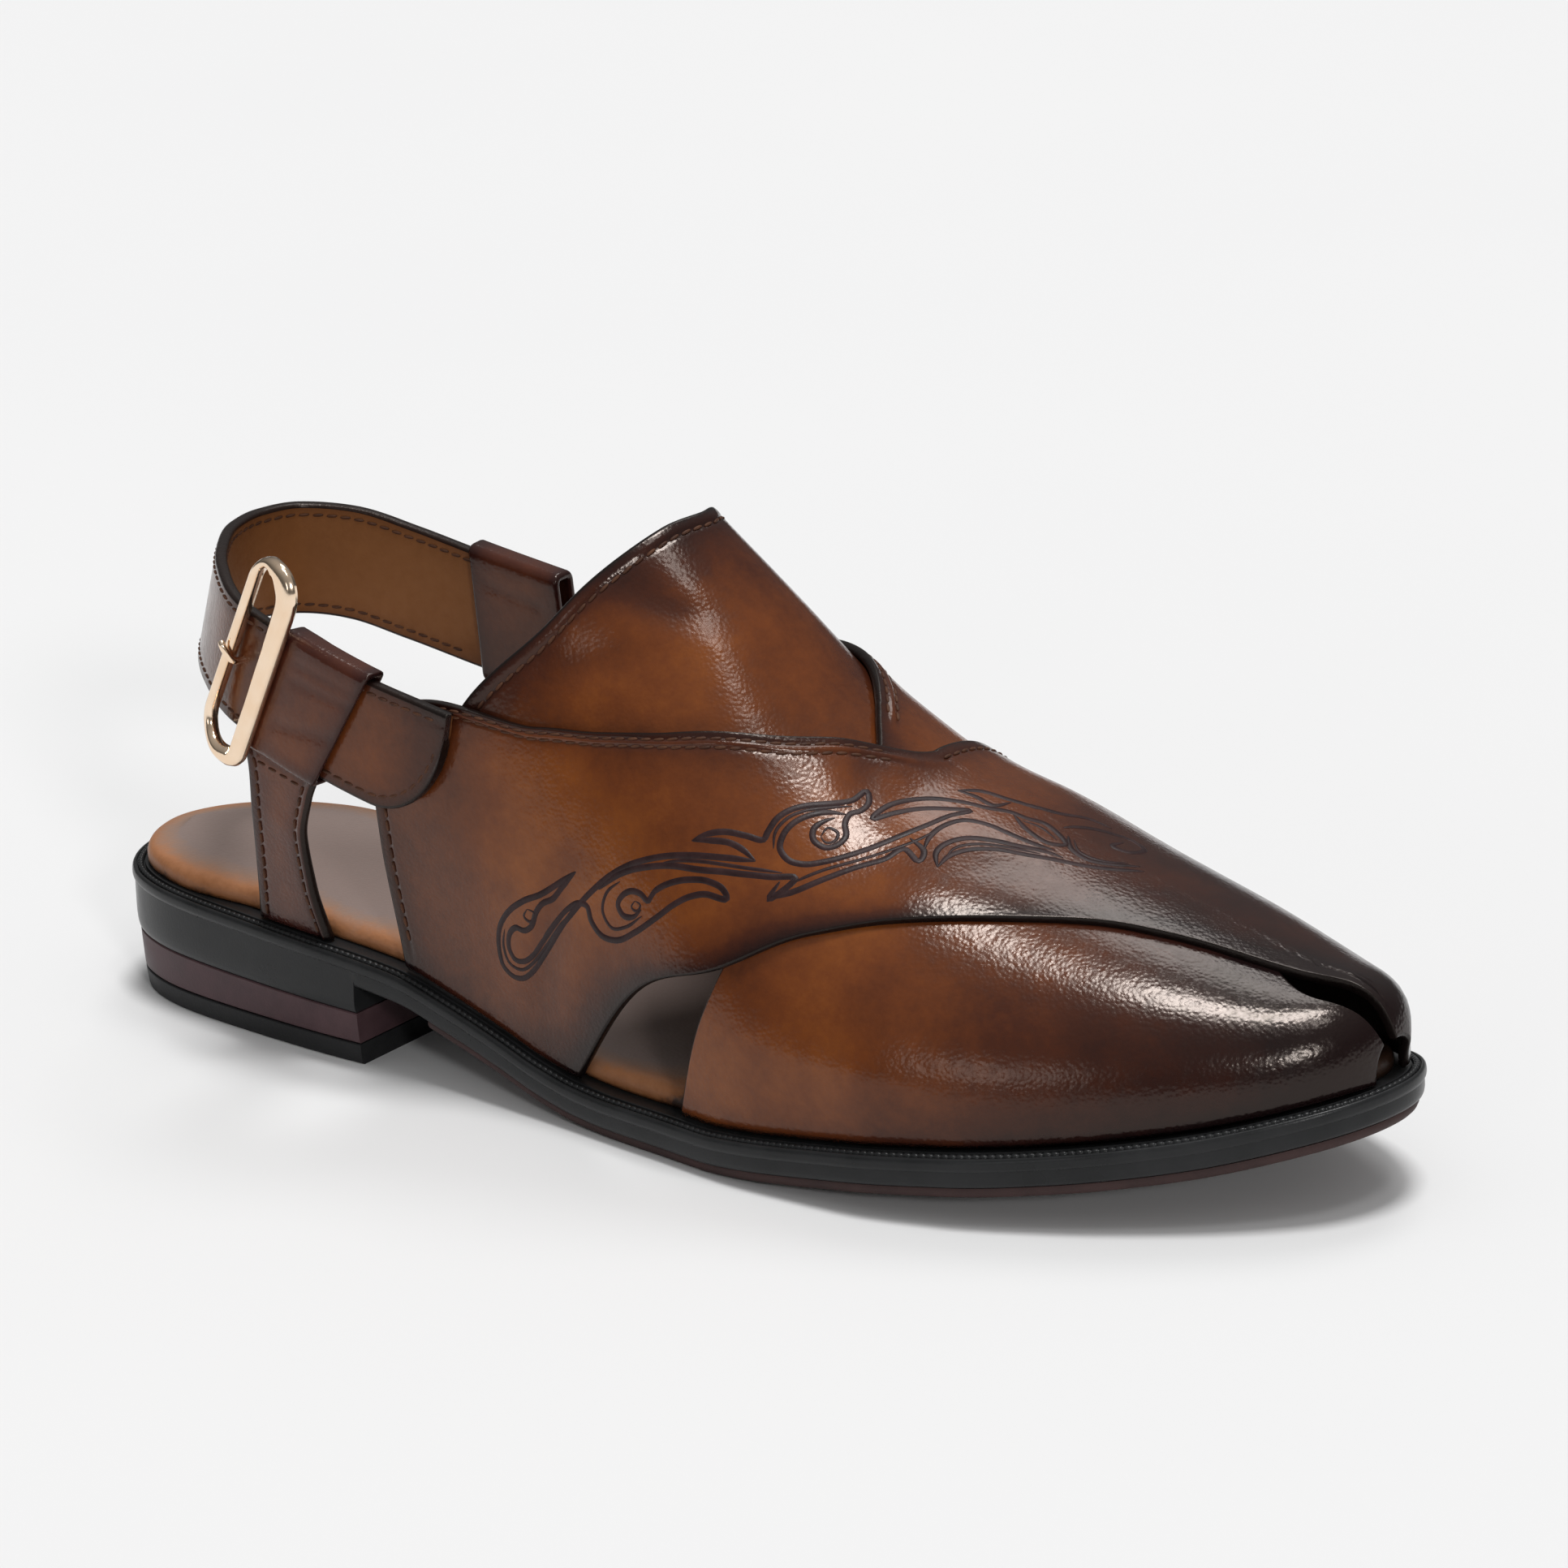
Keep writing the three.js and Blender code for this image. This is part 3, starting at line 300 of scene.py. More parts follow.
def leatherFinish(name, look):
    finish, tree, shader = newFinish(name)
    place = addNode(tree, "ShaderNodeTexCoord", {}).outputs["Object"]
    patches = noise(tree, place, look["patches"], 3)
    specks = noise(tree, place, look["specks"], 5)
    # the attribute runs from light to dark: burnish of the edges and the toe, with painted shade in troughs,
    # folds and under the outer panel
    burnishAndShade = addNode(tree, "ShaderNodeAttribute", {}, attribute_name="burnishAndShade").outputs["Fac"]
    drift = figure(tree, "MULTIPLY", figure(tree, "SUBTRACT", patches, 0.5), look["drift"])
    fleck = figure(tree, "MULTIPLY", figure(tree, "SUBTRACT", specks, 0.5), look["fleck"])
    shade = figure(tree, "ADD", burnishAndShade, figure(tree, "ADD", drift, fleck))
    tree.links.new(ramp(tree, shade, look["shades"]), shader.inputs["Base Color"])
    tree.links.new(span(tree, specks, *look["gloss"]), shader.inputs["Roughness"])
    pebbleInputs = {"Vector": place, "Scale": look["pebble"], "Smoothness": 0.6, "Randomness": 1.0}
    pebble = addNode(tree, "ShaderNodeTexVoronoi", pebbleInputs, feature="SMOOTH_F1").outputs["Distance"]
    pores = noise(tree, place, look["pebble"] * 2.3, 3)
    waves = noise(tree, place, look["pebble"] * 0.16, 2)
    firstInputs = {"Height": waves, "Strength": 1.0, "Distance": look["waveDepth"]}
    first = addNode(tree, "ShaderNodeBump", firstInputs).outputs["Normal"]
    secondInputs = {"Height": pebble, "Strength": 1.0, "Distance": look["pebbleDepth"], "Normal": first}
    second = addNode(tree, "ShaderNodeBump", secondInputs, invert=True).outputs["Normal"]
    thirdInputs = {"Height": pores, "Strength": 1.0, "Distance": look["pebbleDepth"] * 0.35, "Normal": second}
    third = addNode(tree, "ShaderNodeBump", thirdInputs).outputs["Normal"]
    tree.links.new(third, shader.inputs["Normal"])
    tree.links.new(third, shader.inputs["Coat Normal"])
    shader.inputs["Coat Weight"].default_value = look["coat"]
    shader.inputs["Coat Roughness"].default_value = look["coatRoughness"]
    shader.inputs["Specular IOR Level"].default_value = look["specular"]
    shader.inputs["Specular Tint"].default_value = (*look["sheen"], 1)
    return finish


# leather colours from light to dark, for both burnish and painted shade
burnishShadeColours = [
    (0.0, (0.265, 0.078, 0.0145)),
    (0.28, (0.14, 0.037, 0.0095)),
    (0.52, (0.058, 0.015, 0.0066)),
    (0.76, (0.025, 0.0074, 0.0052)),
    (1.0, (0.0085, 0.0036, 0.0038)),
]
vampLook = {
    "shades": burnishShadeColours, "patches": 26, "specks": 420, "drift": 0.8, "fleck": 0.22,
    "gloss": (0.15, 0.24), "pebble": 1250, "pebbleDepth": 0.000042, "waveDepth": 0.00006,
    "coat": 0.06, "coatRoughness": 0.14, "specular": 0.35, "sheen": (1.0, 0.86, 0.77),
}
stayShades = [
    (0.0, (0.17, 0.048, 0.015)),
    (0.3, (0.082, 0.0225, 0.0115)),
    (0.6, (0.034, 0.0095, 0.0078)),
    (1.0, (0.009, 0.0038, 0.0038)),
]
vampLeather = leatherFinish("burnished leather", vampLook)
stayLeather = leatherFinish("plum stay leather", {**vampLook, "shades": stayShades, "specular": 0.34})
liningShades = [(0.0, (0.3, 0.118, 0.036)), (0.5, (0.17, 0.062, 0.02)), (1.0, (0.05, 0.02, 0.01))]
liningLook = {
    **vampLook, "shades": liningShades, "gloss": (0.48, 0.62), "coat": 0.0, "specular": 0.25,
    "pebble": 1500, "pebbleDepth": 0.00004, "waveDepth": 0.00008, "drift": 0.35,
}
strapLining = leatherFinish("tan strap lining", liningLook)
# painted shade: the lining inside the upper is the tan lining look with much darker colours, for the shade
# inside the shoe
darkShades = [(0.0, (0.05, 0.03, 0.021)), (0.5, (0.03, 0.018, 0.013)), (1.0, (0.015, 0.009, 0.007))]
upperLining = leatherFinish("dark upper lining", {**liningLook, "shades": darkShades})
edgeShades = [(0.0, (0.05, 0.017, 0.008)), (0.45, (0.016, 0.007, 0.005)), (1.0, (0.005, 0.003, 0.0028))]
edgeLook = {
    **vampLook, "shades": edgeShades, "gloss": (0.26, 0.4), "pebble": 2200,
    "pebbleDepth": 0.00003, "waveDepth": 0.0001, "specular": 0.25,
}
edgePaint = leatherFinish("painted cut edge", edgeLook)


def cloudedFinish(name, look, grainScale, grainDetail):  # two shades in soft clouds over a fine grain
    finish, tree, shader = newFinish(name)
    place = addNode(tree, "ShaderNodeTexCoord", {}).outputs["Object"]
    cloud = noise(tree, place, look["patches"], 4)
    grain = noise(tree, place, grainScale, grainDetail)
    shade = ramp(tree, cloud, [(0.3, look["dark"]), (0.7, look["light"])])
    tree.links.new(shade, shader.inputs["Base Color"])
    tree.links.new(span(tree, cloud, *look["gloss"]), shader.inputs["Roughness"])
    bumpInputs = {"Height": grain, "Strength": 1.0, "Distance": look["depth"]}
    tree.links.new(addNode(tree, "ShaderNodeBump", bumpInputs).outputs["Normal"], shader.inputs["Normal"])
    return finish, shader


def rubberFinish(name, look):
    finish, shader = cloudedFinish(name, look, 1800, 3)
    shader.inputs["Specular IOR Level"].default_value = 0.22
    return finish


def metalFinish(name, look):
    finish, shader = cloudedFinish(name, look, 2600, 2)
    shader.inputs["Metallic"].default_value = 1.0
    return finish


soleRubber = rubberFinish("satin black sole", {
    "dark": (0.013, 0.0135, 0.014), "light": (0.021, 0.0215, 0.0225), "patches": 90,
    "gloss": (0.26, 0.36), "depth": 0.00003,
})
outsoleRubber = rubberFinish("maroon outsole", {
    "dark": (0.035, 0.019, 0.018), "light": (0.06, 0.033, 0.031), "patches": 120,
    "gloss": (0.55, 0.7), "depth": 0.00006,
})
heelBand = rubberFinish("burgundy heel band", {
    "dark": (0.058, 0.03, 0.034), "light": (0.088, 0.048, 0.053), "patches": 140,
    "gloss": (0.4, 0.52), "depth": 0.00004,
})
heelRubber = rubberFinish("black heel rubber", {
    "dark": (0.011, 0.011, 0.012), "light": (0.02, 0.02, 0.021), "patches": 150,
    "gloss": (0.45, 0.6), "depth": 0.00006,
})
threadFinish = rubberFinish("waxed thread", {
    "dark": (0.045, 0.017, 0.009), "light": (0.11, 0.045, 0.022), "patches": 300,
    "gloss": (0.5, 0.65), "depth": 0.00005,
})
scrollFinish = rubberFinish("engraved scroll", {
    "dark": (0.015, 0.0062, 0.0066), "light": (0.036, 0.0155, 0.0155), "patches": 260, "gloss": (0.34, 0.5),
    "depth": 0.00004,
})
buckleMetal = metalFinish("polished rose gold", {
    "dark": (0.9, 0.67, 0.47), "light": (0.96, 0.77, 0.59), "patches": 160,
    "gloss": (0.11, 0.2), "depth": 0.000004,
})


def footbedFinishOf(name, look):
    finish, tree, shader = newFinish(name)
    place = addNode(tree, "ShaderNodeTexCoord", {}).outputs["Object"]
    cloud = noise(tree, place, 26, 4)
    specks = noise(tree, place, 500, 5)
    fromEdgeAndShade = addNode(tree, "ShaderNodeAttribute", {}, attribute_name="fromEdgeAndShade").outputs["Fac"]
    inward = figure(tree, "DIVIDE", fromEdgeAndShade, look["band"])
    reach = figure(tree, "ADD", inward, figure(tree, "SUBTRACT", cloud, 0.5))
    sway = figure(tree, "MULTIPLY", figure(tree, "SUBTRACT", specks, 0.5), 0.3)
    reach = figure(tree, "ADD", figure(tree, "ADD", reach, sway), look["start"])
    tree.links.new(ramp(tree, reach, look["shades"]), shader.inputs["Base Color"])
    tree.links.new(span(tree, specks, *look["gloss"]), shader.inputs["Roughness"])
    shader.inputs["Specular IOR Level"].default_value = look["specular"]
    pebbleInputs = {"Vector": place, "Scale": 1300, "Smoothness": 0.6, "Randomness": 1.0}
    pebble = addNode(tree, "ShaderNodeTexVoronoi", pebbleInputs, feature="SMOOTH_F1").outputs["Distance"]
    bumpInputs = {"Height": pebble, "Strength": 1.0, "Distance": look["depth"]}
    bump = addNode(tree, "ShaderNodeBump", bumpInputs, invert=True).outputs["Normal"]
    tree.links.new(bump, shader.inputs["Normal"])
    return finish


footbedFinish = footbedFinishOf("taupe footbed leather", {
    # the darkest stop is painted shadow at the bottom edges and painted shade under the vamp; the orange
    # stops are the burnished edge and the taupe stops the top
    "shades": [
        (0.0, (0.03, 0.014, 0.008)), (0.12, (0.24, 0.092, 0.032)), (0.42, (0.38, 0.165, 0.075)),
        (0.72, (0.29, 0.18, 0.13)), (1.0, (0.245, 0.182, 0.16)),
    ],
    "band": 12.0, "start": 0.3, "gloss": (0.4, 0.52), "depth": 0.00005, "specular": 0.3,
})
print("the finishes are mixed")


# Meshes

weldDistance = 0.000004  # metres
millimetre = 0.001  # metres
frameShift = 40  # the shoe's own frame starts at the middle of the heel
hardEdge = 38  # degrees, past which a rubber edge stays sharp


def inFrame(points):  # from millimetres behind the heel to the frame's metres
    return (points - np.array([frameShift, 0, 0])) * millimetre


def selectOnly(piece):
    bpy.ops.object.select_all(action="DESELECT")
    piece.select_set(True)
    bpy.context.view_layer.objects.active = piece


def meshPiece(name, points, faces):
    mesh = bpy.data.meshes.new(name)
    mesh.from_pydata(inFrame(points).tolist(), [], faces)
    piece = bpy.data.objects.new(name, mesh)
    bpy.context.collection.objects.link(piece)
    return piece


def finishPiece(piece, name, nodes, finishes, angle):
    piece.name = name
    piece.data.name = name
    for finish in finishes:
        piece.data.materials.append(finish)
    selectOnly(piece)
    if angle is None:
        bpy.ops.object.shade_smooth()
    else:
        bpy.ops.object.shade_smooth_by_angle(angle=math.radians(angle))
    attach(piece, "root")
    for node in nodes:
        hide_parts(node)
    return piece


# A grid is added, each of its points is moved to its place in millimetres, and its seams are welded
def gridPiece(name, place, nodes=(), finishes=(), zones=None, shades=None, angle=None, fill=False):
    rows, columns = place.shape[:2]
    bpy.ops.object.select_all(action="DESELECT")
    bpy.ops.mesh.primitive_grid_add(x_subdivisions=rows - 1, y_subdivisions=columns - 1, size=2)
    piece = bpy.context.object
    mesh = piece.data
    flat = np.empty(len(mesh.vertices) * 3)
    mesh.vertices.foreach_get("co", flat)
    flat = flat.reshape(-1, 3)
    row = np.rint((flat[:, 0] + 1) / 2 * (rows - 1)).astype(int)
    col = np.rint((flat[:, 1] + 1) / 2 * (columns - 1)).astype(int)
    if zones is not None:
        corners = np.empty(len(mesh.loops), dtype=np.int32)
        mesh.loops.foreach_get("vertex_index", corners)
        quads = corners.reshape(-1, 4)
        zone = zones[row[quads].min(axis=1), col[quads].min(axis=1)].astype(np.int32)
        mesh.polygons.foreach_set("material_index", zone)
    mesh.vertices.foreach_set("co", inFrame(place[row, col]).astype(np.float32).ravel())
    for key, values in (shades or {}).items():
        layer = mesh.attributes.new(key, "FLOAT", "POINT")
        layer.data.foreach_set("value", values[row, col].astype(np.float32))
    mesh.update()
    bpy.ops.object.mode_set(mode="EDIT")
    bpy.ops.mesh.select_all(action="SELECT")
    bpy.ops.mesh.remove_doubles(threshold=weldDistance)
    if fill:
        bpy.ops.mesh.select_all(action="SELECT")
        bpy.ops.mesh.fill_holes(sides=0)
        bpy.ops.mesh.select_all(action="SELECT")
    bpy.ops.mesh.normals_make_consistent(inside=False)
    bpy.ops.object.mode_set(mode="OBJECT")
    return finishPiece(piece, name, nodes, finishes, angle)


def copiesPiece(name, base, centres, axes, finishes):  # one small shape set many times into one mesh
    verts, faces = base
    points = centres[:, None, :] + np.einsum("vk,nkc->nvc", verts, axes)
    count = len(verts)
    allFaces = [tuple(corner + n * count for corner in face) for n in range(len(centres)) for face in faces]
    piece = meshPiece(name, points.reshape(-1, 3), allFaces)
    return finishPiece(piece, name, (), finishes, None)


def wallZones(faceCount, rimCount, rows):  # 0 on the face, 1 on the cut edges and 2 on the lining
    face, rim, lining = np.zeros(faceCount - 1), np.ones(rimCount + 1), np.full(faceCount - 1, 2)
    return np.repeat(np.concatenate([face, rim, lining, rim])[None], rows - 1, axis=0)


def tubePlace(middle, ahead, radius, corners):  # rings of a round bar about its middle line
    side = unit(np.cross(ahead, [0, 0, 1.0]))
    up = np.cross(side, ahead)
    angles = np.linspace(0, 2 * np.pi, corners + 1)
    ring = side[:, None] * np.cos(angles)[None, :, None] + up[:, None] * np.sin(angles)[None, :, None]
    return middle[:, None] + ring * radius[:, None, None]


stitchSizes = {"pitch": 2.9, "length": 2.3, "radius": 0.36, "sink": 0.02, "blunt": 0.7, "slant": 0.09}


def stitchShape():
    bpy.ops.object.select_all(action="DESELECT")
    bpy.ops.mesh.primitive_uv_sphere_add(segments=6, ring_count=6, radius=1)
    ball = bpy.context.object
    verts = np.array([vertex.co[:] for vertex in ball.data.vertices])[:, [2, 0, 1]]
    verts[:, 0] = np.sign(verts[:, 0]) * np.abs(verts[:, 0]) ** stitchSizes["blunt"]
    faces = [tuple(polygon.vertices) for polygon in ball.data.polygons]
    bpy.data.objects.remove(ball)
    return verts, faces


stitchBase = stitchShape()


def stitchesAlong(points, outs):
    lengths, places, pitch = evenSteps(points, stitchSizes["pitch"])
    near = 0.4  # millimetres to each side for the direction
    centres = np.stack([np.interp(places, lengths, points[:, k]) for k in range(3)], -1)
    out = unit(np.stack([np.interp(places, lengths, outs[:, k]) for k in range(3)], -1))
    ahead = np.stack([np.interp(places + near, lengths, points[:, k]) for k in range(3)], -1)
    behind = np.stack([np.interp(places - near, lengths, points[:, k]) for k in range(3)], -1)
    along = unit(ahead - behind)
    side = np.cross(out, along)
    half, radius = stitchSizes["length"] / 2, stitchSizes["radius"]
    along = unit(along + side * stitchSizes["slant"])
    axes = np.stack([along * half, side * radius, out * radius], 1)
    return centres - out * stitchSizes["sink"], axes


def stitchPiece(name, runs):
    sets = [stitchesAlong(points, outs) for points, outs in runs]
    centres = np.concatenate([centre for centre, axes in sets])
    axes = np.concatenate([axis for centre, axis in sets])
    return copiesPiece(name, stitchBase, centres, axes, [threadFinish])


# Panels of the upper and the tongue

# Rows of points close to a panel's edge, in millimetres from it, and the angles round the cut edge
nearEdge = np.array([0.7, 1.0, 1.3, 1.65, 2.0, 2.4, 2.8, 3.2, 3.6, 4.0, 4.4, 4.8, 5.3, 6.0, 7.2, 9.0])
rimAngles = np.radians([22, 45, 68, 90, 112, 135, 158])
rimReach = 0.7
seamSizes = {"depth": 0.24, "width": 0.55, "fade": 0.012, "rollFade": 0.05}


def panelCurves(panel):
    for side in ("back", "front"):
        rows = panel[side + "Rows"]
        panel[side + "Along"] = curveThrough(column(rows, 0), column(rows, 1))
        panel[side + "Around"] = curveThrough(column(rows, 0), column(rows, 2))
    return panel


def acrossPanel(panel, step, share):
    backTurn, frontTurn = turnOf(panel["backAlong"](step)), turnOf(panel["frontAlong"](step))
    backAround, frontAround = panel["backAround"](step), panel["frontAround"](step)
    return alongOf(backTurn + (frontTurn - backTurn) * share), backAround + (frontAround - backAround) * share


def measurePanel(panel, steps):
    shares = np.linspace(0, 1, 61)
    along, around = acrossPanel(panel, steps[:, None], shares[None, :])
    points = liftedPoint(along, around, panel["room"](along, around) + panel["wall"])
    spans = np.linalg.norm(np.diff(points, axis=1), axis=-1)
    return shares, np.concatenate([np.zeros((len(steps), 1)), np.cumsum(spans, axis=1)], axis=1)


def sharesAt(shares, lengths, distances):
    return np.array([np.interp(distance, length, shares) for distance, length in zip(distances, lengths)])


def creaseRelief(creases, point):  # soft troughs with a low ridge on each side
    relief = np.zeros(point.shape[:-1])
    flat = point.reshape(-1, 3)
    for crease in creases:
        track = splinePlaces(crease["path"], np.linspace(0, 1, 41))
        line = liftedPoint(track[:, 0], track[:, 1], 2.0)
        gaps = np.linalg.norm(flat[:, None, :] - line[None], axis=-1)
        nearest = gaps.argmin(axis=1)
        gap = gaps.min(axis=1).reshape(relief.shape)
        fade = np.sin(np.pi * (nearest + 1) / 42).reshape(relief.shape) ** 0.8
        trough = np.exp(-((gap / crease["width"]) ** 2))
        shoulder = np.exp(-(((gap - 2 * crease["width"]) / crease["width"]) ** 2))
        relief += fade * (crease["ridge"] * shoulder - crease["depth"] * trough)
    return relief


def seamRelief(panel, steps, fromBack, fromFront):
    relief = np.zeros(fromBack.shape)
    for side, distance, start, end in panel["stitches"]:
        gap = (fromBack if side == "back" else fromFront) - distance
        fade = seamSizes["fade"]
        within = smooth(start - fade, start, steps) * (1 - smooth(end, end + fade, steps))
        relief -= seamSizes["depth"] * within[:, None] * np.exp(-((gap / seamSizes["width"]) ** 2))
    for side, distance, width, height, start, end in panel["rolls"]:
        gap = (fromBack if side == "back" else fromFront) - distance
        fade = seamSizes["rollFade"]
        within = smooth(start - fade, start, steps) * (1 - smooth(end, end + fade, steps))
        relief += height * within[:, None] * np.exp(-((gap / width) ** 2))
    return relief


def panelPiece(name, panel, nodes, finishes):
    steps = np.linspace(0, 1, panel["steps"])
    shares, lengths = measurePanel(panel, steps)
    width = lengths[:, -1:]
    scale = np.minimum(1, width / (2.6 * nearEdge[-1]))
    inner = np.linspace(0, 1, panel["middle"] + 2)[1:-1]
    first, last = nearEdge * scale, width - nearEdge[::-1] * scale
    face = np.hstack([first, first[:, -1:] + (last[:, :1] - first[:, -1:]) * inner, last])
    rim = rimReach * (1 - np.sin(rimAngles)) * scale
    distance = np.hstack([face, width - rim, face[:, ::-1], rim, face[:, :1]])
    faceCount, rimCount = face.shape[1], len(rimAngles)
    rimDown, rimUp = (1 + np.cos(rimAngles)) / 2, (1 - np.cos(rimAngles)) / 2
    height = np.concatenate([np.ones(faceCount), rimDown, np.zeros(faceCount), rimUp, [1]])
    height = np.repeat(height[None], len(steps), axis=0)
    height[[0, -1]] = 0.5
    along, around = acrossPanel(panel, steps[:, None], sharesAt(shares, lengths, distance))
    lift = panel["room"](along, around) + panel["wall"] * height
    fromBack, fromFront = distance, width - distance
    bare = liftedPoint(along, around, lift)
    relief = seamRelief(panel, steps, fromBack, fromFront) + creaseRelief(panel["creases"], bare)
    relief *= smooth(0.85, 1, height)
    place = liftedPoint(along, around, lift + relief)
    zones = wallZones(faceCount, rimCount, len(steps))
    above = place[..., 2] - weltTop(place[..., 0])
    burnishAndShade = panel["burnishAndShade"](place, fromBack, fromFront, above)
    # painted shade in the seam and crease troughs, and painted light on the rolls and ridges
    burnishAndShade = burnishAndShade - relief * reliefShadeShare
    shades = {"burnishAndShade": np.clip(burnishAndShade, -0.2, 1.1)}
    return gridPiece(name, place, nodes, finishes, zones, shades)


def panelRun(panel, side, distance, start, end):
    steps = np.linspace(start, end, 260)
    shares, lengths = measurePanel(panel, steps)
    asked = np.full(len(steps), distance) if side == "back" else lengths[:, -1] - distance
    along, around = acrossPanel(panel, steps, sharesAt(shares, lengths, asked))
    lift = panel["room"](along, around) + panel["wall"]
    bare = liftedPoint(along, around, lift)
    lift = lift + creaseRelief(panel["creases"], bare) - 0.1
    points = liftedPoint(along, around, lift)
    return points, unit(liftedPoint(along, around, lift + 1) - points)


# Darkening of the panels: strength at an edge and how far it reaches in millimetres. The toe, the edges and
# the washes are burnish; the welt term makes the lowest few millimetres over the welt darker
burnishSizes = {
    "base": 0.23, "toe": 0.62, "toeStart": 200, "toeEnd": 268, "backEdge": (0.42, 3.0),
    "frontEdge": (0.6, 4.0), "backWash": (0.27, 13), "frontWash": (0.24, 12), "welt": (0.32, 5),
}
# painted light and shade: troughs of seams, creases and folds are painted darker and raised leather lighter,
# by this share of the relief
reliefShadeShare = 0.35  # raised leather is lighter and troughs are darker


def fading(distance, strength, reach):
    return strength * np.exp(-distance / reach)


def outerBurnish(place, fromBack, fromFront, above):
    toe = smooth(burnishSizes["toeStart"], burnishSizes["toeEnd"], place[..., 0]) * burnishSizes["toe"]
    edges = fading(fromBack, *burnishSizes["backEdge"]) + fading(fromFront, *burnishSizes["frontEdge"])
    wash = fading(fromBack, *burnishSizes["backWash"]) + fading(fromFront, *burnishSizes["frontWash"])
    return burnishSizes["base"] + toe + edges + wash + fading(above, *burnishSizes["welt"])


def innerBurnishAndShade(place, fromBack, fromFront, above):
    lateral = smooth(-5, -25, place[..., 1])
    # painted shade: on the little-toe side the inner panel is darker high up and behind about 190 mm, under
    # the outer panel
    shadeUnderPanel = 0.26 * smooth(208, 170, place[..., 0]) * smooth(30, 44, place[..., 2])
    return outerBurnish(place, fromBack + 40 * lateral, fromFront, above) + (shadeUnderPanel - 0.06) * lateral


def tongueDarkening(place, fromBack, fromFront, above):
    # darker about 50 mm up and towards the big-toe side, and burnished along the back edge
    sides = 0.5 * np.exp(-((place[..., 2] - 50) / 26) ** 2) + 0.34 * smooth(-6, 16, place[..., 1])
    return 0.24 + fading(fromBack, 0.4, 3) + fading(fromBack, 0.34, 15) + 0.6 * sides


# A stitch row: its edge, its distance from it and the steps it runs between. A roll adds a width and a height
outerPanel = panelCurves({
    "backRows": outerBack, "frontRows": outerFront, "room": crossingRoom, "wall": 2.0, "steps": 261,
    "middle": 40,
    "stitches": [
        ("back", 2.4, 0.2, 0.6), ("back", 4.9, 0.2, 0.6), ("back", 3.0, 0.02, 0.17),
        ("back", 3.0, 0.64, 0.98),
    ],
    "rolls": [("back", 3.6, 1.1, 0.3, 0.22, 0.6)],
    "creases": [
        {"path": [(0.62, 0.435), (0.634, 0.398), (0.648, 0.36)], "depth": 0.55, "width": 3.2, "ridge": 0.2},
        {"path": [(0.43, 0.02), (0.45, 0.08), (0.47, 0.14)], "depth": 0.35, "width": 4.0, "ridge": 0.15},
        {"path": [(0.66, 0.3), (0.72, 0.36), (0.77, 0.42)], "depth": 0.3, "width": 4.5, "ridge": 0.15},
        {"path": [(0.62, 0.03), (0.66, 0.1), (0.71, 0.16)], "depth": 0.3, "width": 4.0, "ridge": 0.12},
        {"path": [(0.8, 0.1), (0.83, 0.2), (0.84, 0.3)], "depth": 0.25, "width": 4.5, "ridge": 0.1},
        {"path": [(0.62, 0.62), (0.7, 0.68), (0.74, 0.78)], "depth": 0.3, "width": 4.0, "ridge": 0.12},
    ],
    "burnishAndShade": outerBurnish,
})
innerPanel = panelCurves({
    "backRows": innerBack, "frontRows": innerFront, "room": tongueRoom, "wall": 2.0, "steps": 241,
    "middle": 34,
    "stitches": [("back", 2.4, 0.2, 0.64), ("back", 4.9, 0.2, 0.64), ("back", 3.0, 0.02, 0.17)],
    "rolls": [("back", 3.6, 1.1, 0.3, 0.22, 0.62)],
    "creases": [
        {"path": [(0.43, 0.98), (0.45, 0.92), (0.47, 0.86)], "depth": 0.35, "width": 4.0, "ridge": 0.15},
    ],
    "burnishAndShade": innerBurnishAndShade,
})
tonguePanel = panelCurves({
    "backRows": tongueBack, "frontRows": tongueFront, "room": lambda along, around: 0 * along,
    "wall": 1.6, "steps": 161, "middle": 22,
    "stitches": [("back", 3.2, 0.03, 0.97)], "rolls": [("back", 1.6, 0.9, 0.15, 0.05, 0.95)],
    "creases": [
        {"path": [(0.45, 0.33), (0.5, 0.36), (0.53, 0.42)], "depth": 0.3, "width": 3.0, "ridge": 0.12},
        {"path": [(0.42, 0.2), (0.46, 0.26), (0.5, 0.3)], "depth": 0.25, "width": 3.5, "ridge": 0.1},
    ],
    "burnishAndShade": tongueDarkening,
})
panelFinishes = [vampLeather, edgePaint, upperLining]
panelPiece("outer_panel", outerPanel, ["upper"], panelFinishes)
panelPiece("inner_panel", innerPanel, ["upper"], panelFinishes)
panelPiece("tongue_sheet", tonguePanel, ["tongue"], panelFinishes)
for name, panel, slot in (
    ("outer_panel_stitches", outerPanel, "vamp_leather"),
    ("inner_panel_stitches", innerPanel, "vamp_leather"),
    ("tongue_stitches", tonguePanel, "tongue_leather"),
):
    stitchPiece(name, [panelRun(panel, *row) for row in panel["stitches"]])
print("the panels and the tongue are on the last")
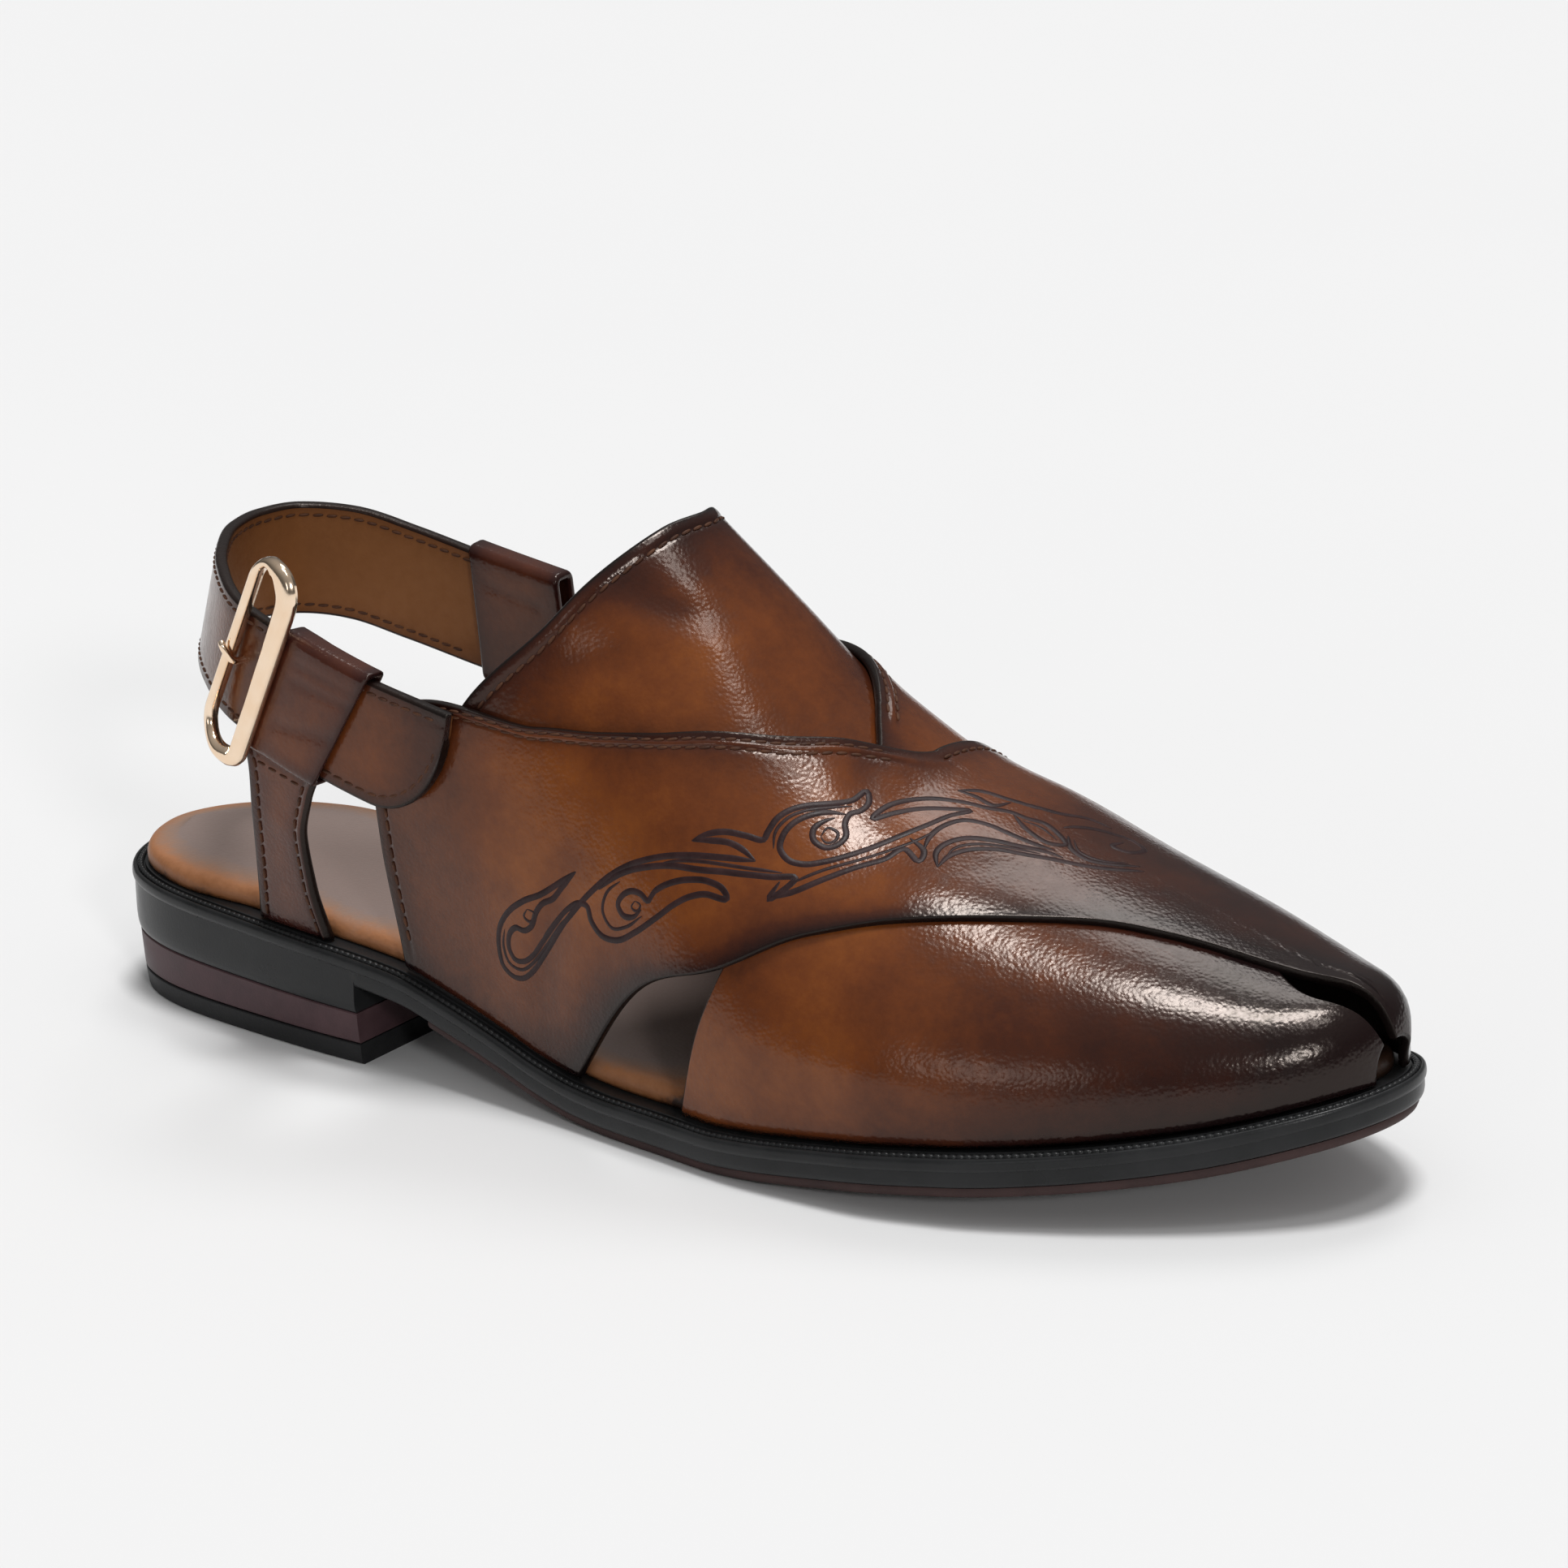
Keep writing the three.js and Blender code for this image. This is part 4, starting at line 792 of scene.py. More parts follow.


# Scroll band on the outer panel, a common flame scroll: strokes through (along, around) on the last,
# their points picked in the photo
scrollStrokes = {
    "bold": [
        [(0.4706, 0.122), (0.4542, 0.105), (0.4406, 0.0915), (0.4265, 0.0807), (0.4131, 0.0677),
         (0.4031, 0.0536), (0.4004, 0.0432), (0.4024, 0.0353), (0.4092, 0.0338), (0.4187, 0.0365),
         (0.4292, 0.0445), (0.4444, 0.0624), (0.4584, 0.0819), (0.4709, 0.0987), (0.4849, 0.1169),
         (0.4999, 0.1357), (0.5164, 0.1541), (0.5356, 0.1736), (0.5568, 0.1952), (0.5735, 0.2123),
         (0.59, 0.2287), (0.6068, 0.2432)],
        [(0.4706, 0.122), (0.4595, 0.1069), (0.4511, 0.0951), (0.4424, 0.0876), (0.437, 0.08),
         (0.4329, 0.0709), (0.4259, 0.0649), (0.4185, 0.0624), (0.4116, 0.0544), (0.4105, 0.0476),
         (0.4142, 0.0444), (0.4217, 0.0467), (0.4308, 0.0537), (0.4413, 0.0664), (0.4548, 0.0842),
         (0.4647, 0.0963), (0.4747, 0.1052), (0.4829, 0.1074), (0.4871, 0.1006), (0.4963, 0.0963),
         (0.5112, 0.1005), (0.5286, 0.1162), (0.5456, 0.1375), (0.5578, 0.1564), (0.5691, 0.173),
         (0.5804, 0.186), (0.5964, 0.1966), (0.5909, 0.201), (0.5796, 0.1965), (0.5665, 0.1847),
         (0.5518, 0.168), (0.5412, 0.1534), (0.5356, 0.1421), (0.5294, 0.1425), (0.5215, 0.1394),
         (0.5136, 0.1316), (0.5099, 0.1228), (0.5148, 0.119), (0.5241, 0.1232), (0.5307, 0.1324)],
        [(0.4922, 0.123), (0.5035, 0.1368), (0.5169, 0.1505), (0.5334, 0.1654), (0.5525, 0.1824),
         (0.5705, 0.1973), (0.5875, 0.2134), (0.6044, 0.2272), (0.6197, 0.2401), (0.6344, 0.2546),
         (0.632, 0.2417), (0.6235, 0.2205), (0.6262, 0.242)],
        [(0.6235, 0.2205), (0.638, 0.2431), (0.652, 0.2707), (0.6676, 0.302), (0.6819, 0.3276),
         (0.6896, 0.3503), (0.7023, 0.3439), (0.7006, 0.3602), (0.6874, 0.3656)],
        [(0.5613, 0.2123), (0.5693, 0.2271), (0.5813, 0.2442), (0.595, 0.2565), (0.6059, 0.2646),
         (0.6066, 0.2742), (0.608, 0.2914), (0.6128, 0.3088), (0.6197, 0.3245), (0.6311, 0.3453),
         (0.6397, 0.3644), (0.6431, 0.3855), (0.6485, 0.3766), (0.6482, 0.3613), (0.644, 0.3497),
         (0.645, 0.3365), (0.6501, 0.3259), (0.648, 0.3097), (0.6418, 0.2999), (0.6343, 0.2989),
         (0.6305, 0.3075), (0.6326, 0.3211), (0.6378, 0.3345)],
        [(0.5613, 0.2123), (0.573, 0.226), (0.5865, 0.2394), (0.5965, 0.2436), (0.6068, 0.2432)],
        [(0.6421, 0.3462), (0.6322, 0.3341), (0.6231, 0.3155), (0.6175, 0.2974), (0.6158, 0.2802),
         (0.6182, 0.2682), (0.6254, 0.265), (0.6354, 0.2713), (0.6465, 0.2867), (0.6584, 0.3086),
         (0.6712, 0.3367), (0.6826, 0.3673), (0.6911, 0.3947), (0.6968, 0.4193), (0.7038, 0.4414),
         (0.6905, 0.4263), (0.6781, 0.409), (0.6673, 0.3864), (0.6574, 0.3618), (0.6587, 0.3825),
         (0.6655, 0.4059), (0.6783, 0.4309), (0.6941, 0.4476), (0.7087, 0.4578), (0.7217, 0.4715),
         (0.7323, 0.4767), (0.7445, 0.4854), (0.7646, 0.4725), (0.756, 0.4584), (0.7404, 0.4595),
         (0.7249, 0.4701)],
        [(0.6847, 0.4609), (0.696, 0.4791), (0.711, 0.4881), (0.7253, 0.5003), (0.7408, 0.5202),
         (0.755, 0.5561), (0.7677, 0.5674)],
        [(0.6847, 0.4609), (0.6963, 0.4658), (0.7098, 0.4666), (0.7157, 0.4861)],
        [(0.7006, 0.3602), (0.6978, 0.38), (0.7, 0.4042), (0.7072, 0.4245), (0.7193, 0.4346),
         (0.7355, 0.4396), (0.7518, 0.4457), (0.7643, 0.4532)],
        [(0.7154, 0.3478), (0.7085, 0.3634), (0.7088, 0.3789), (0.7168, 0.4011), (0.7294, 0.4163),
         (0.7455, 0.4302), (0.7615, 0.4445), (0.7721, 0.4491)],
        [(0.7154, 0.3478), (0.7166, 0.3695), (0.7241, 0.3903), (0.7379, 0.4103), (0.7539, 0.4246),
         (0.7695, 0.4398), (0.7831, 0.4522), (0.7997, 0.4728), (0.8144, 0.4996)],
        [(0.7528, 0.4966), (0.7612, 0.5274), (0.7726, 0.5521), (0.7852, 0.5689), (0.7958, 0.5608),
         (0.7936, 0.5263), (0.784, 0.5185), (0.7838, 0.5472)],
        [(0.7602, 0.4876), (0.7708, 0.4695), (0.7833, 0.4678), (0.7964, 0.4815), (0.8094, 0.505)],
    ],
    "fine": [
        [(0.4075, 0.0551), (0.4051, 0.0453), (0.4083, 0.0397), (0.4189, 0.0409), (0.43, 0.0489),
         (0.446, 0.0674), (0.4602, 0.0865), (0.4699, 0.0965)],
        [(0.5101, 0.1387), (0.4989, 0.124), (0.4969, 0.1111), (0.5048, 0.1055), (0.5188, 0.1135),
         (0.5319, 0.1287)],
        [(0.5442, 0.1777), (0.5634, 0.1975), (0.5859, 0.2186), (0.6082, 0.2363), (0.6255, 0.2506)],
        [(0.6323, 0.2447), (0.6491, 0.2793), (0.6651, 0.3085), (0.6807, 0.3389), (0.6925, 0.3676),
         (0.6988, 0.3932)],
        [(0.6141, 0.2643), (0.6108, 0.2785), (0.6133, 0.2985), (0.6195, 0.3166), (0.6306, 0.3381),
         (0.6424, 0.3593)],
        [(0.6365, 0.307), (0.6379, 0.3208), (0.6443, 0.3229), (0.6459, 0.3136), (0.6411, 0.3054),
         (0.6365, 0.307)],
        [(0.7319, 0.4688), (0.7445, 0.4753), (0.7584, 0.4707)],
        [(0.7158, 0.3634), (0.7159, 0.3811), (0.7241, 0.3999), (0.7406, 0.4191), (0.7599, 0.4362)],
        [(0.7651, 0.4865), (0.7756, 0.473), (0.7888, 0.4775), (0.8023, 0.4987)],
        [(0.4299, 0.0781), (0.4267, 0.0726), (0.4323, 0.0724), (0.4356, 0.0788), (0.4299, 0.0781)],
        [(0.5244, 0.1345), (0.522, 0.1285), (0.5273, 0.1291), (0.5296, 0.1352), (0.5244, 0.1345)],
    ],
}
scrollSizes = {"bold": 0.74, "fine": 0.42, "raise": 0.05, "sink": 0.1, "spacing": 0.5, "taper": 4.0}


def scrollStroke(path, halfWidth):
    rough = splinePlaces(path, np.linspace(0, 1, 30 * len(path)))
    bare = liftedPoint(rough[:, 0], rough[:, 1], 2.0)
    lengths, places, pitch = evenSteps(bare, scrollSizes["spacing"])
    places = np.concatenate([[0], places, [lengths[-1]]])
    along, around = [np.interp(places, lengths, rough[:, k]) for k in range(2)]
    lift = crossingRoom(along, around) + outerPanel["wall"]
    lift = lift + creaseRelief(outerPanel["creases"], liftedPoint(along, around, lift))
    points = liftedPoint(along, around, lift)
    out = unit(liftedPoint(along, around, lift + 1) - points)
    side = unit(np.cross(out, np.gradient(points, axis=0)))
    fromEnds = np.minimum(places, lengths[-1] - places)
    taper = np.minimum(1, np.sqrt(fromEnds / scrollSizes["taper"] + 0.02))
    half = (halfWidth * taper)[:, None]
    raised, sunk = scrollSizes["raise"], scrollSizes["sink"]
    return np.stack([
        points + side * half - out * sunk,
        points + side * half * 0.8 + out * raised * 0.7,
        points + out * raised,
        points - side * half * 0.8 + out * raised * 0.7,
        points - side * half - out * sunk,
    ], axis=1)


def strokeMesh(rings):
    verts = rings.reshape(-1, 3)
    corners = rings.shape[1]
    faces = []
    for start in range(0, len(verts) - corners, corners):
        for corner in range(corners):
            here, beside = start + corner, start + (corner + 1) % corners
            faces.append((here, beside, beside + corners, here + corners))
    faces.append(tuple(range(corners)))
    faces.append(tuple(len(verts) - corners + corner for corner in reversed(range(corners))))
    return verts, faces


def scrollPiece():
    allVerts, allFaces = [], []
    for kind in ("bold", "fine"):
        for path in scrollStrokes[kind]:
            verts, faces = strokeMesh(scrollStroke(path, scrollSizes[kind]))
            start = len(allVerts)
            allVerts.extend(verts.tolist())
            allFaces.extend(tuple(corner + start for corner in face) for face in faces)
    piece = meshPiece("scroll_band", np.array(allVerts), allFaces)
    selectOnly(piece)
    bpy.ops.object.mode_set(mode="EDIT")
    bpy.ops.mesh.select_all(action="SELECT")
    bpy.ops.mesh.normals_make_consistent(inside=False)
    bpy.ops.object.mode_set(mode="OBJECT")
    return finishPiece(piece, "scroll_band", (), [scrollFinish], None)


scrollPiece()
print("the scroll band is drawn")


# Sole, heel and footbed

breastTurn = float(turnOf(lastSizes["heel"] / lastSizes["length"]))
soleSizes = {"outsole": 2.2, "gap": 0.3, "topPiece": 4.4, "outsoleStart": 0.33}
fineTurns = np.concatenate([
    np.linspace(0, breastTurn, 90), [breastTurn + 0.0015], np.linspace(breastTurn, np.pi, 171)[1:],
])


def heelLine(x):  # underside of the moulded heel, where the burgundy band starts
    share = np.clip(np.asarray(x, float) / lastSizes["heel"], 0, 1)
    return soleSizes["topPiece"] + (lastSizes["seat"] - soleSizes["topPiece"]) * (0.4 - 0.09 * share)


def undersideAt(x, turns):
    ahead = floorLine(x) + soleSizes["outsole"] + soleSizes["gap"]
    return np.where(turns <= breastTurn + 1e-6, heelLine(x), ahead)


def wrappedRows(turns, profile):  # rows of inset, share of the way to the middle, and height
    sides = []
    for side in (-1, 1):
        rows = []
        for inset, inward, height in profile:
            edge = outlinePoint(turns, side, inset)
            middle = (edge + outlinePoint(turns, -side, inset)) / 2
            flat = edge + (middle - edge) * inward
            rows.append(np.column_stack([flat, height(flat[:, 0], turns)]))
        sides.append(np.array(rows))
    return np.concatenate([sides[0], sides[1][:, ::-1]], axis=1)


def drop(depth):  # below the welt
    return lambda x, turns: weltTop(x) - depth


def waist(share):  # between the welt and the underside
    return lambda x, turns: weltTop(x) + (undersideAt(x, turns) - weltTop(x)) * share


soleProfile = [
    (3.2, 1, drop(0)), (3.2, 0.5, drop(0)), (3.2, 0, drop(0)), (3.0, 0, drop(0)), (2.86, 0, drop(0.08)),
    (2.74, 0, drop(0.8)), (0.98, 0, drop(0.8)), (0.9, 0, drop(0.46)), (0.78, 0, drop(0.4)),
    (0.56, 0, drop(0.42)), (0.3, 0, drop(0.6)), (0.12, 0, drop(0.95)), (0.02, 0, drop(1.5)),
    (0.0, 0, drop(2.1)), (0.08, 0, drop(2.55)), (0.28, 0, drop(2.9)), (0.44, 0, drop(3.1)),
    (0.38, 0, waist(0.62)), (0.38, 0, waist(0.78)), (0.5, 0, waist(0.9)), (0.7, 0, waist(0.97)),
    (0.95, 0, waist(1)), (0.95, 0.5, waist(1)), (0.95, 1, waist(1)),
]
solePlace = wrappedRows(fineTurns, soleProfile)
gridPiece("sole_body", solePlace, ["sole_unit"], [soleRubber], angle=hardEdge)


def under(rise):  # over the line that the runner stands on
    return lambda x, turns: floorLine(x) + rise


outsoleProfile = [
    (1.5, 1, under(2.2)), (1.5, 0, under(2.2)), (1.42, 0, under(1.9)), (1.45, 0, under(1.3)),
    (1.8, 0, under(0.6)), (2.4, 0, under(0.15)), (3.0, 0, under(0)), (3.0, 1, under(0)),
]
outsoleTurns = np.linspace(float(turnOf(soleSizes["outsoleStart"])), np.pi, 150)
outsolePlace = wrappedRows(outsoleTurns, outsoleProfile)
gridPiece(
    "outsole_sheet", outsolePlace, ["outsole"], [outsoleRubber], angle=hardEdge, fill=True,
)


def heelRing(inset, height):
    turns = np.linspace(0, breastTurn, 70)
    flat = np.concatenate([outlinePoint(turns[::-1], -1, inset), outlinePoint(turns[1:], 1, inset)])
    back = flat[-1] + (flat[0] - flat[-1]) * np.linspace(0, 1, 12)[1:, None]
    flat = np.concatenate([flat, back])
    return np.column_stack([flat, height(flat[:, 0])])


def level(height):
    return lambda x: 0 * x + height


def underHeel(depth):
    return lambda x: heelLine(x) - soleSizes["gap"] - depth


# Rings of the heel band and of the top piece: inset and height
liftRings = [
    (1.15, underHeel(0)), (0.92, underHeel(0.25)), (1.0, underHeel(2)), (1.3, level(5.4)),
    (1.38, level(4.95)), (1.6, level(4.7)),
]
topPieceRings = [
    (1.65, level(soleSizes["topPiece"])), (1.42, level(4.2)), (1.5, level(3.2)), (1.78, level(0.7)),
    (1.95, level(0.25)), (2.38, level(0)),
]
for name, rings, slot, node, finish in (
    ("heel_band", liftRings, "heel_stack", "heel_lift", heelBand),
    ("heel_tread", topPieceRings, "heel_rubber", "heel_top_piece", heelRubber),
):
    place = np.array([heelRing(inset, height) for inset, height in rings])
    gridPiece(name, place, [node], [finish], angle=hardEdge, fill=True)

beadSizes = {"inset": 1.86, "sink": 0.64, "radius": 0.7, "pitch": 1.5, "samples": 6, "waist": 0.4}


def beadPlace():
    turns = np.linspace(0, np.pi, 1200)
    inset = beadSizes["inset"]
    loop = np.concatenate([outlinePoint(turns, -1, inset), outlinePoint(turns[::-1], 1, inset)])
    lengths = np.concatenate([[0], np.cumsum(np.linalg.norm(np.diff(loop, axis=0), axis=1))])
    ribs = int(round(lengths[-1] / beadSizes["pitch"]))
    phase = np.linspace(0, ribs, ribs * beadSizes["samples"] + 1)
    places = phase / ribs * lengths[-1]
    x, y = [np.interp(places, lengths, loop[:, k]) for k in range(2)]
    middle = np.stack([x, y, weltTop(x) - beadSizes["sink"]], -1)
    ahead = np.roll(middle[:-1], -1, axis=0) - np.roll(middle[:-1], 1, axis=0)
    ahead = unit(np.concatenate([ahead, ahead[:1]]))
    radius = beadSizes["radius"] * (1 - beadSizes["waist"] * (1 - np.abs(np.sin(np.pi * phase))) ** 2)
    return tubePlace(middle, ahead, radius, 8)


gridPiece("welt_bead", beadPlace(), (), [soleRubber])

footbedSizes = {"thickness": 4.4, "dome": 0.9, "fill": 0.35}


def footbedInset(extra):
    return lambda x: 3.6 + 2.6 * smooth(0.09, 0.16, x / lastSizes["length"]) + extra


def footbedLevel(share, dome):
    rise = footbedSizes["thickness"] - soleSizes["gap"]
    return lambda x, turns: weltTop(x) + soleSizes["gap"] + rise * share + footbedSizes["dome"] * dome


footbedProfile = [
    (footbedInset(0), 1, footbedLevel(0, 0)), (footbedInset(0), 0, footbedLevel(0, 0)),
    (footbedInset(-0.15), 0, footbedLevel(0.2, 0)), (footbedInset(-0.15), 0, footbedLevel(0.45, 0)),
    (footbedInset(0.1), 0, footbedLevel(0.66, 0)), (footbedInset(0.5), 0, footbedLevel(0.82, 0)),
    (footbedInset(1.1), 0, footbedLevel(0.93, 0)), (footbedInset(1.9), 0, footbedLevel(1, 0.02)),
    (footbedInset(2.9), 0, footbedLevel(1, 0.1)), (footbedInset(4.2), 0, footbedLevel(1, 0.22)),
    (footbedInset(6), 0, footbedLevel(1, 0.4)), (footbedInset(6), 0.2, footbedLevel(1, 0.66)),
    (footbedInset(6), 0.45, footbedLevel(1, 0.88)), (footbedInset(6), 0.7, footbedLevel(1, 0.97)),
    (footbedInset(6), 1, footbedLevel(1, 1)),
]
footbedPlace = wrappedRows(fineTurns, footbedProfile)
# painted shadow: the bottom rows lie below zero, so the footbed's lower edge is dark where it meets the sole
fromEdgeAndShade = np.array([-2, -2, -1.5, -0.5, 0.4, 1.1, 1.9, 2.8, 3.8, 5.1, 7, 10, 14, 18, 22])
fromEdgeAndShade = np.repeat(fromEdgeAndShade[:, None].astype(float), footbedPlace.shape[1], axis=1)
# painted shade on the footbed under the vamp
fromEdgeAndShade -= 30 * smooth(150, 235, footbedPlace[..., 0])  # dark under the vamp
footbed = gridPiece(
    "footbed_pad", footbedPlace, ["footbed"], [footbedFinish],
    shades={"fromEdgeAndShade": fromEdgeAndShade},
)
print("the sole, the heel and the footbed are laid")


# Heel strap

strapSizes = {
    "width": 25, "thickness": 2.5, "height": 84, "tail": 24, "sleeve": 23, "wall": 1.6, "ease": 0.75,
    "tip": 0.62, "seam": 2.3, "seamWidth": 0.55, "seamDepth": 0.2,
}
# Middle of the strap: place along, across, share of its height, and how far it leans in radians
strapRows = [
    (0.367, -0.38, 0.81, 0.03), (0.3, -0.378, 0.86, 0.03), (0.243, -0.365, 0.915, 0.05),
    (0.18, -0.325, 0.975, 0.1), (0.137, -0.235, 1.015, 0.18), (0.101, -0.11, 1.027, 0.24),
    (0.078, 0, 1.022, 0.24), (0.07, 0.1, 1.016, 0.22), (0.081, 0.2, 1.01, 0.16),
    (0.116, 0.26, 0.995, 0.08), (0.16, 0.29, 0.955, 0.04), (0.215, 0.305, 0.91, 0.03),
    (0.292, 0.312, 0.86, 0.03),
]
strapPoints = [
    (along * lastSizes["length"], across * lastSizes["ball"] + np.sign(across), height * strapSizes["height"])
    for along, across, height, lean in strapRows
]
strapShares = np.linspace(0, 1, 201)
strapTrack = splinePlaces(strapPoints, strapShares)
strapLengths = np.concatenate([[0], np.cumsum(np.linalg.norm(np.diff(strapTrack, axis=0), axis=1))])
strapRun = strapLengths[-1]
strapLean = curveThrough(np.linspace(0, 1, len(strapRows)), column(strapRows, 3))


def strapFrame(distance):  # middle of the strap, on along it, up across it and out from the foot
    distance = np.asarray(distance, float)
    inside = np.clip(distance, 0, strapRun)
    share = np.interp(inside, strapLengths, strapShares)
    early, late = np.clip(share - 0.0001, 0, 1), np.clip(share + 0.0001, 0, 1)
    forward = unit(splinePlaces(strapPoints, late) - splinePlaces(strapPoints, early))
    upright = unit(np.array([0, 0, 1.0]) - forward * forward[..., 2:3])
    outward = np.cross(upright, forward)
    lean = strapLean(share)[..., None]
    up = upright * np.cos(lean) - outward * np.sin(lean)
    out = np.cross(up, forward)
    middle = splinePlaces(strapPoints, share) + forward * (distance - inside)[..., None]
    return middle, forward, up, out


def onStrap(distance, across, outwards, skew=0):
    asked = [np.asarray(v, float) for v in (distance, across, outwards)]
    distance, across, outwards = np.broadcast_arrays(*asked)
    middle, forward, up, out = strapFrame(distance)
    across, outwards = across[..., None], outwards[..., None]
    return middle + up * across + out * outwards + forward * across * skew


def flatRing(faceSteps, cornerSteps):  # factors of a flat ring, and which side each step lies on
    ring = []
    for k in range(faceSteps):
        ring.append((1 - 2 * k / faceSteps, 0, 1, 1, 0))
    for k in range(cornerSteps + 1):
        angle = math.pi / 2 * (1 + k / cornerSteps)
        ring.append((-1, math.cos(angle), 1, math.sin(angle), 1))
    for k in range(cornerSteps + 1):
        angle = math.pi / 2 * (2 + k / cornerSteps)
        ring.append((-1, math.cos(angle), -1, math.sin(angle), 1 if k < cornerSteps else 2))
    for k in range(1, faceSteps):
        ring.append((-1 + 2 * k / faceSteps, 0, -1, -1, 2))
    for k in range(cornerSteps + 1):
        angle = math.pi / 2 * (3 + k / cornerSteps)
        ring.append((1, math.cos(angle), -1, math.sin(angle), 1))
    for k in range(cornerSteps + 1):
        angle = math.pi / 2 * k / cornerSteps
        ring.append((1, math.cos(angle), 1, math.sin(angle), 1 if k < cornerSteps else 0))
    return np.array(ring)


def ringOn(factors, halfWidth, halfThickness, ease):
    asked = halfWidth, halfThickness, ease
    halfWidth, halfThickness, ease = [np.atleast_1d(np.asarray(v, float))[:, None] for v in asked]
    across = factors[:, 0] * (halfWidth - ease) + factors[:, 1] * ease
    outwards = factors[:, 2] * (halfThickness - ease) + factors[:, 3] * ease
    return across, outwards


def strapPiece():
    factors = flatRing(18, 3)
    tip = strapSizes["width"] * strapSizes["tip"]
    turns = np.linspace(0, np.pi / 2, 20)
    end = strapRun - strapSizes["sleeve"] * 0.4
    straight = np.linspace(tip, end, 230)[1:]
    distance = np.concatenate([[-0.35], tip * (1 - np.cos(turns)), straight, [end + 0.3]])
    width = np.concatenate([[0.25], 0.25 + 0.75 * np.sin(turns), np.ones(230)]) * strapSizes["width"]
    width[0] -= 1.0
    thickness = np.full(len(distance), float(strapSizes["thickness"]))
    thickness[[0, -1]] = 0.02
    thickness[1] = 1.7
    ease = np.minimum(strapSizes["ease"], thickness * 0.45)
    across, outwards = ringOn(factors, width / 2, thickness / 2, ease)
    across = np.hstack([across, across[:, :1]])
    outwards = np.hstack([outwards, outwards[:, :1]])
    edge = width[:, None] / 2 - np.abs(across)
    seam = np.exp(-(((edge - strapSizes["seam"]) / strapSizes["seamWidth"]) ** 2)) * (thickness > 2)[:, None]
    outwards = outwards - np.sign(outwards) * strapSizes["seamDepth"] * seam * (np.abs(outwards) > 1.2)
    place = onStrap(distance[:, None], across + (strapSizes["width"] - width[:, None]) / 2, outwards)
    zone = np.repeat(factors[None, :, 4], len(distance) - 1, axis=0)
    burnishAndShade = 0.38 + fading(edge, 0.42, 2.0) + fading(distance[:, None] + 1, 0.4, 4)
    lining = outwards < -0.6
    shades = {"burnishAndShade": np.where(lining, 0.15 + fading(edge, 0.5, 2.0), burnishAndShade)}
    finishes = [vampLeather, edgePaint, strapLining]
    return gridPiece("strap_band", place, ["heel_strap"], finishes, zone, shades)


def strapRunOf(start, end, across, outwards):
    distance = np.linspace(start, end, 500)
    points = onStrap(distance, across, outwards)
    return points, unit(onStrap(distance, across, outwards + np.sign(outwards)) - points)


strapPiece()
rowAt = strapSizes["width"] / 2 - strapSizes["seam"]
strapFace = strapSizes["thickness"] / 2 - 0.1
tailTurns = np.linspace(0.25, np.pi / 2, 60)
tailHalf = (0.25 + 0.75 * np.sin(tailTurns)) * strapSizes["width"] - strapSizes["seam"]
tailAlong = strapSizes["width"] * strapSizes["tip"] * (1 - np.cos(tailTurns)) + 1.2
tailRow = onStrap(tailAlong, strapSizes["width"] / 2 - tailHalf, strapFace)
tailOuts = np.repeat(strapFrame(np.array(6.0))[3][None], len(tailRow), axis=0)
stitchPiece("strap_stitches", [
    strapRunOf(2.6, strapRun - 26, rowAt, strapFace), strapRunOf(17, strapRun - 26, -rowAt, strapFace),
    strapRunOf(30, strapRun - 26, rowAt, -strapFace), strapRunOf(30, strapRun - 26, -rowAt, -strapFace),
    (tailRow, tailOuts),
])
print("the heel strap is bent")


# Stays: a sleeve round the strap and a leg down to the welt

staySizes = {"width": 19, "room": 0.3, "leg": 2.4, "footAlong": 0.205, "rim": 0.7, "seam": 2.6, "bow": 1.2}
# Leg of a stay: place up, how far it leans back, its width and its swell, in shares of the width
stayRows = [
    (0, 0, 1.08, 0), (0.3, -0.07, 0.88, 0.06), (0.6, -0.08, 0.82, 0.14), (0.85, -0.02, 0.95, 0.2),
    (1, 0, 1.15, 0.25),
]
stayRear, stayWidth, staySwell = [curveThrough(column(stayRows, 0), column(stayRows, k)) for k in (1, 2, 3)]


stayRim = np.radians([20, 45, 70, 90, 110, 135, 160])


def bell(value, middle, width):
    return np.exp(-(((value - middle) / width) ** 2))


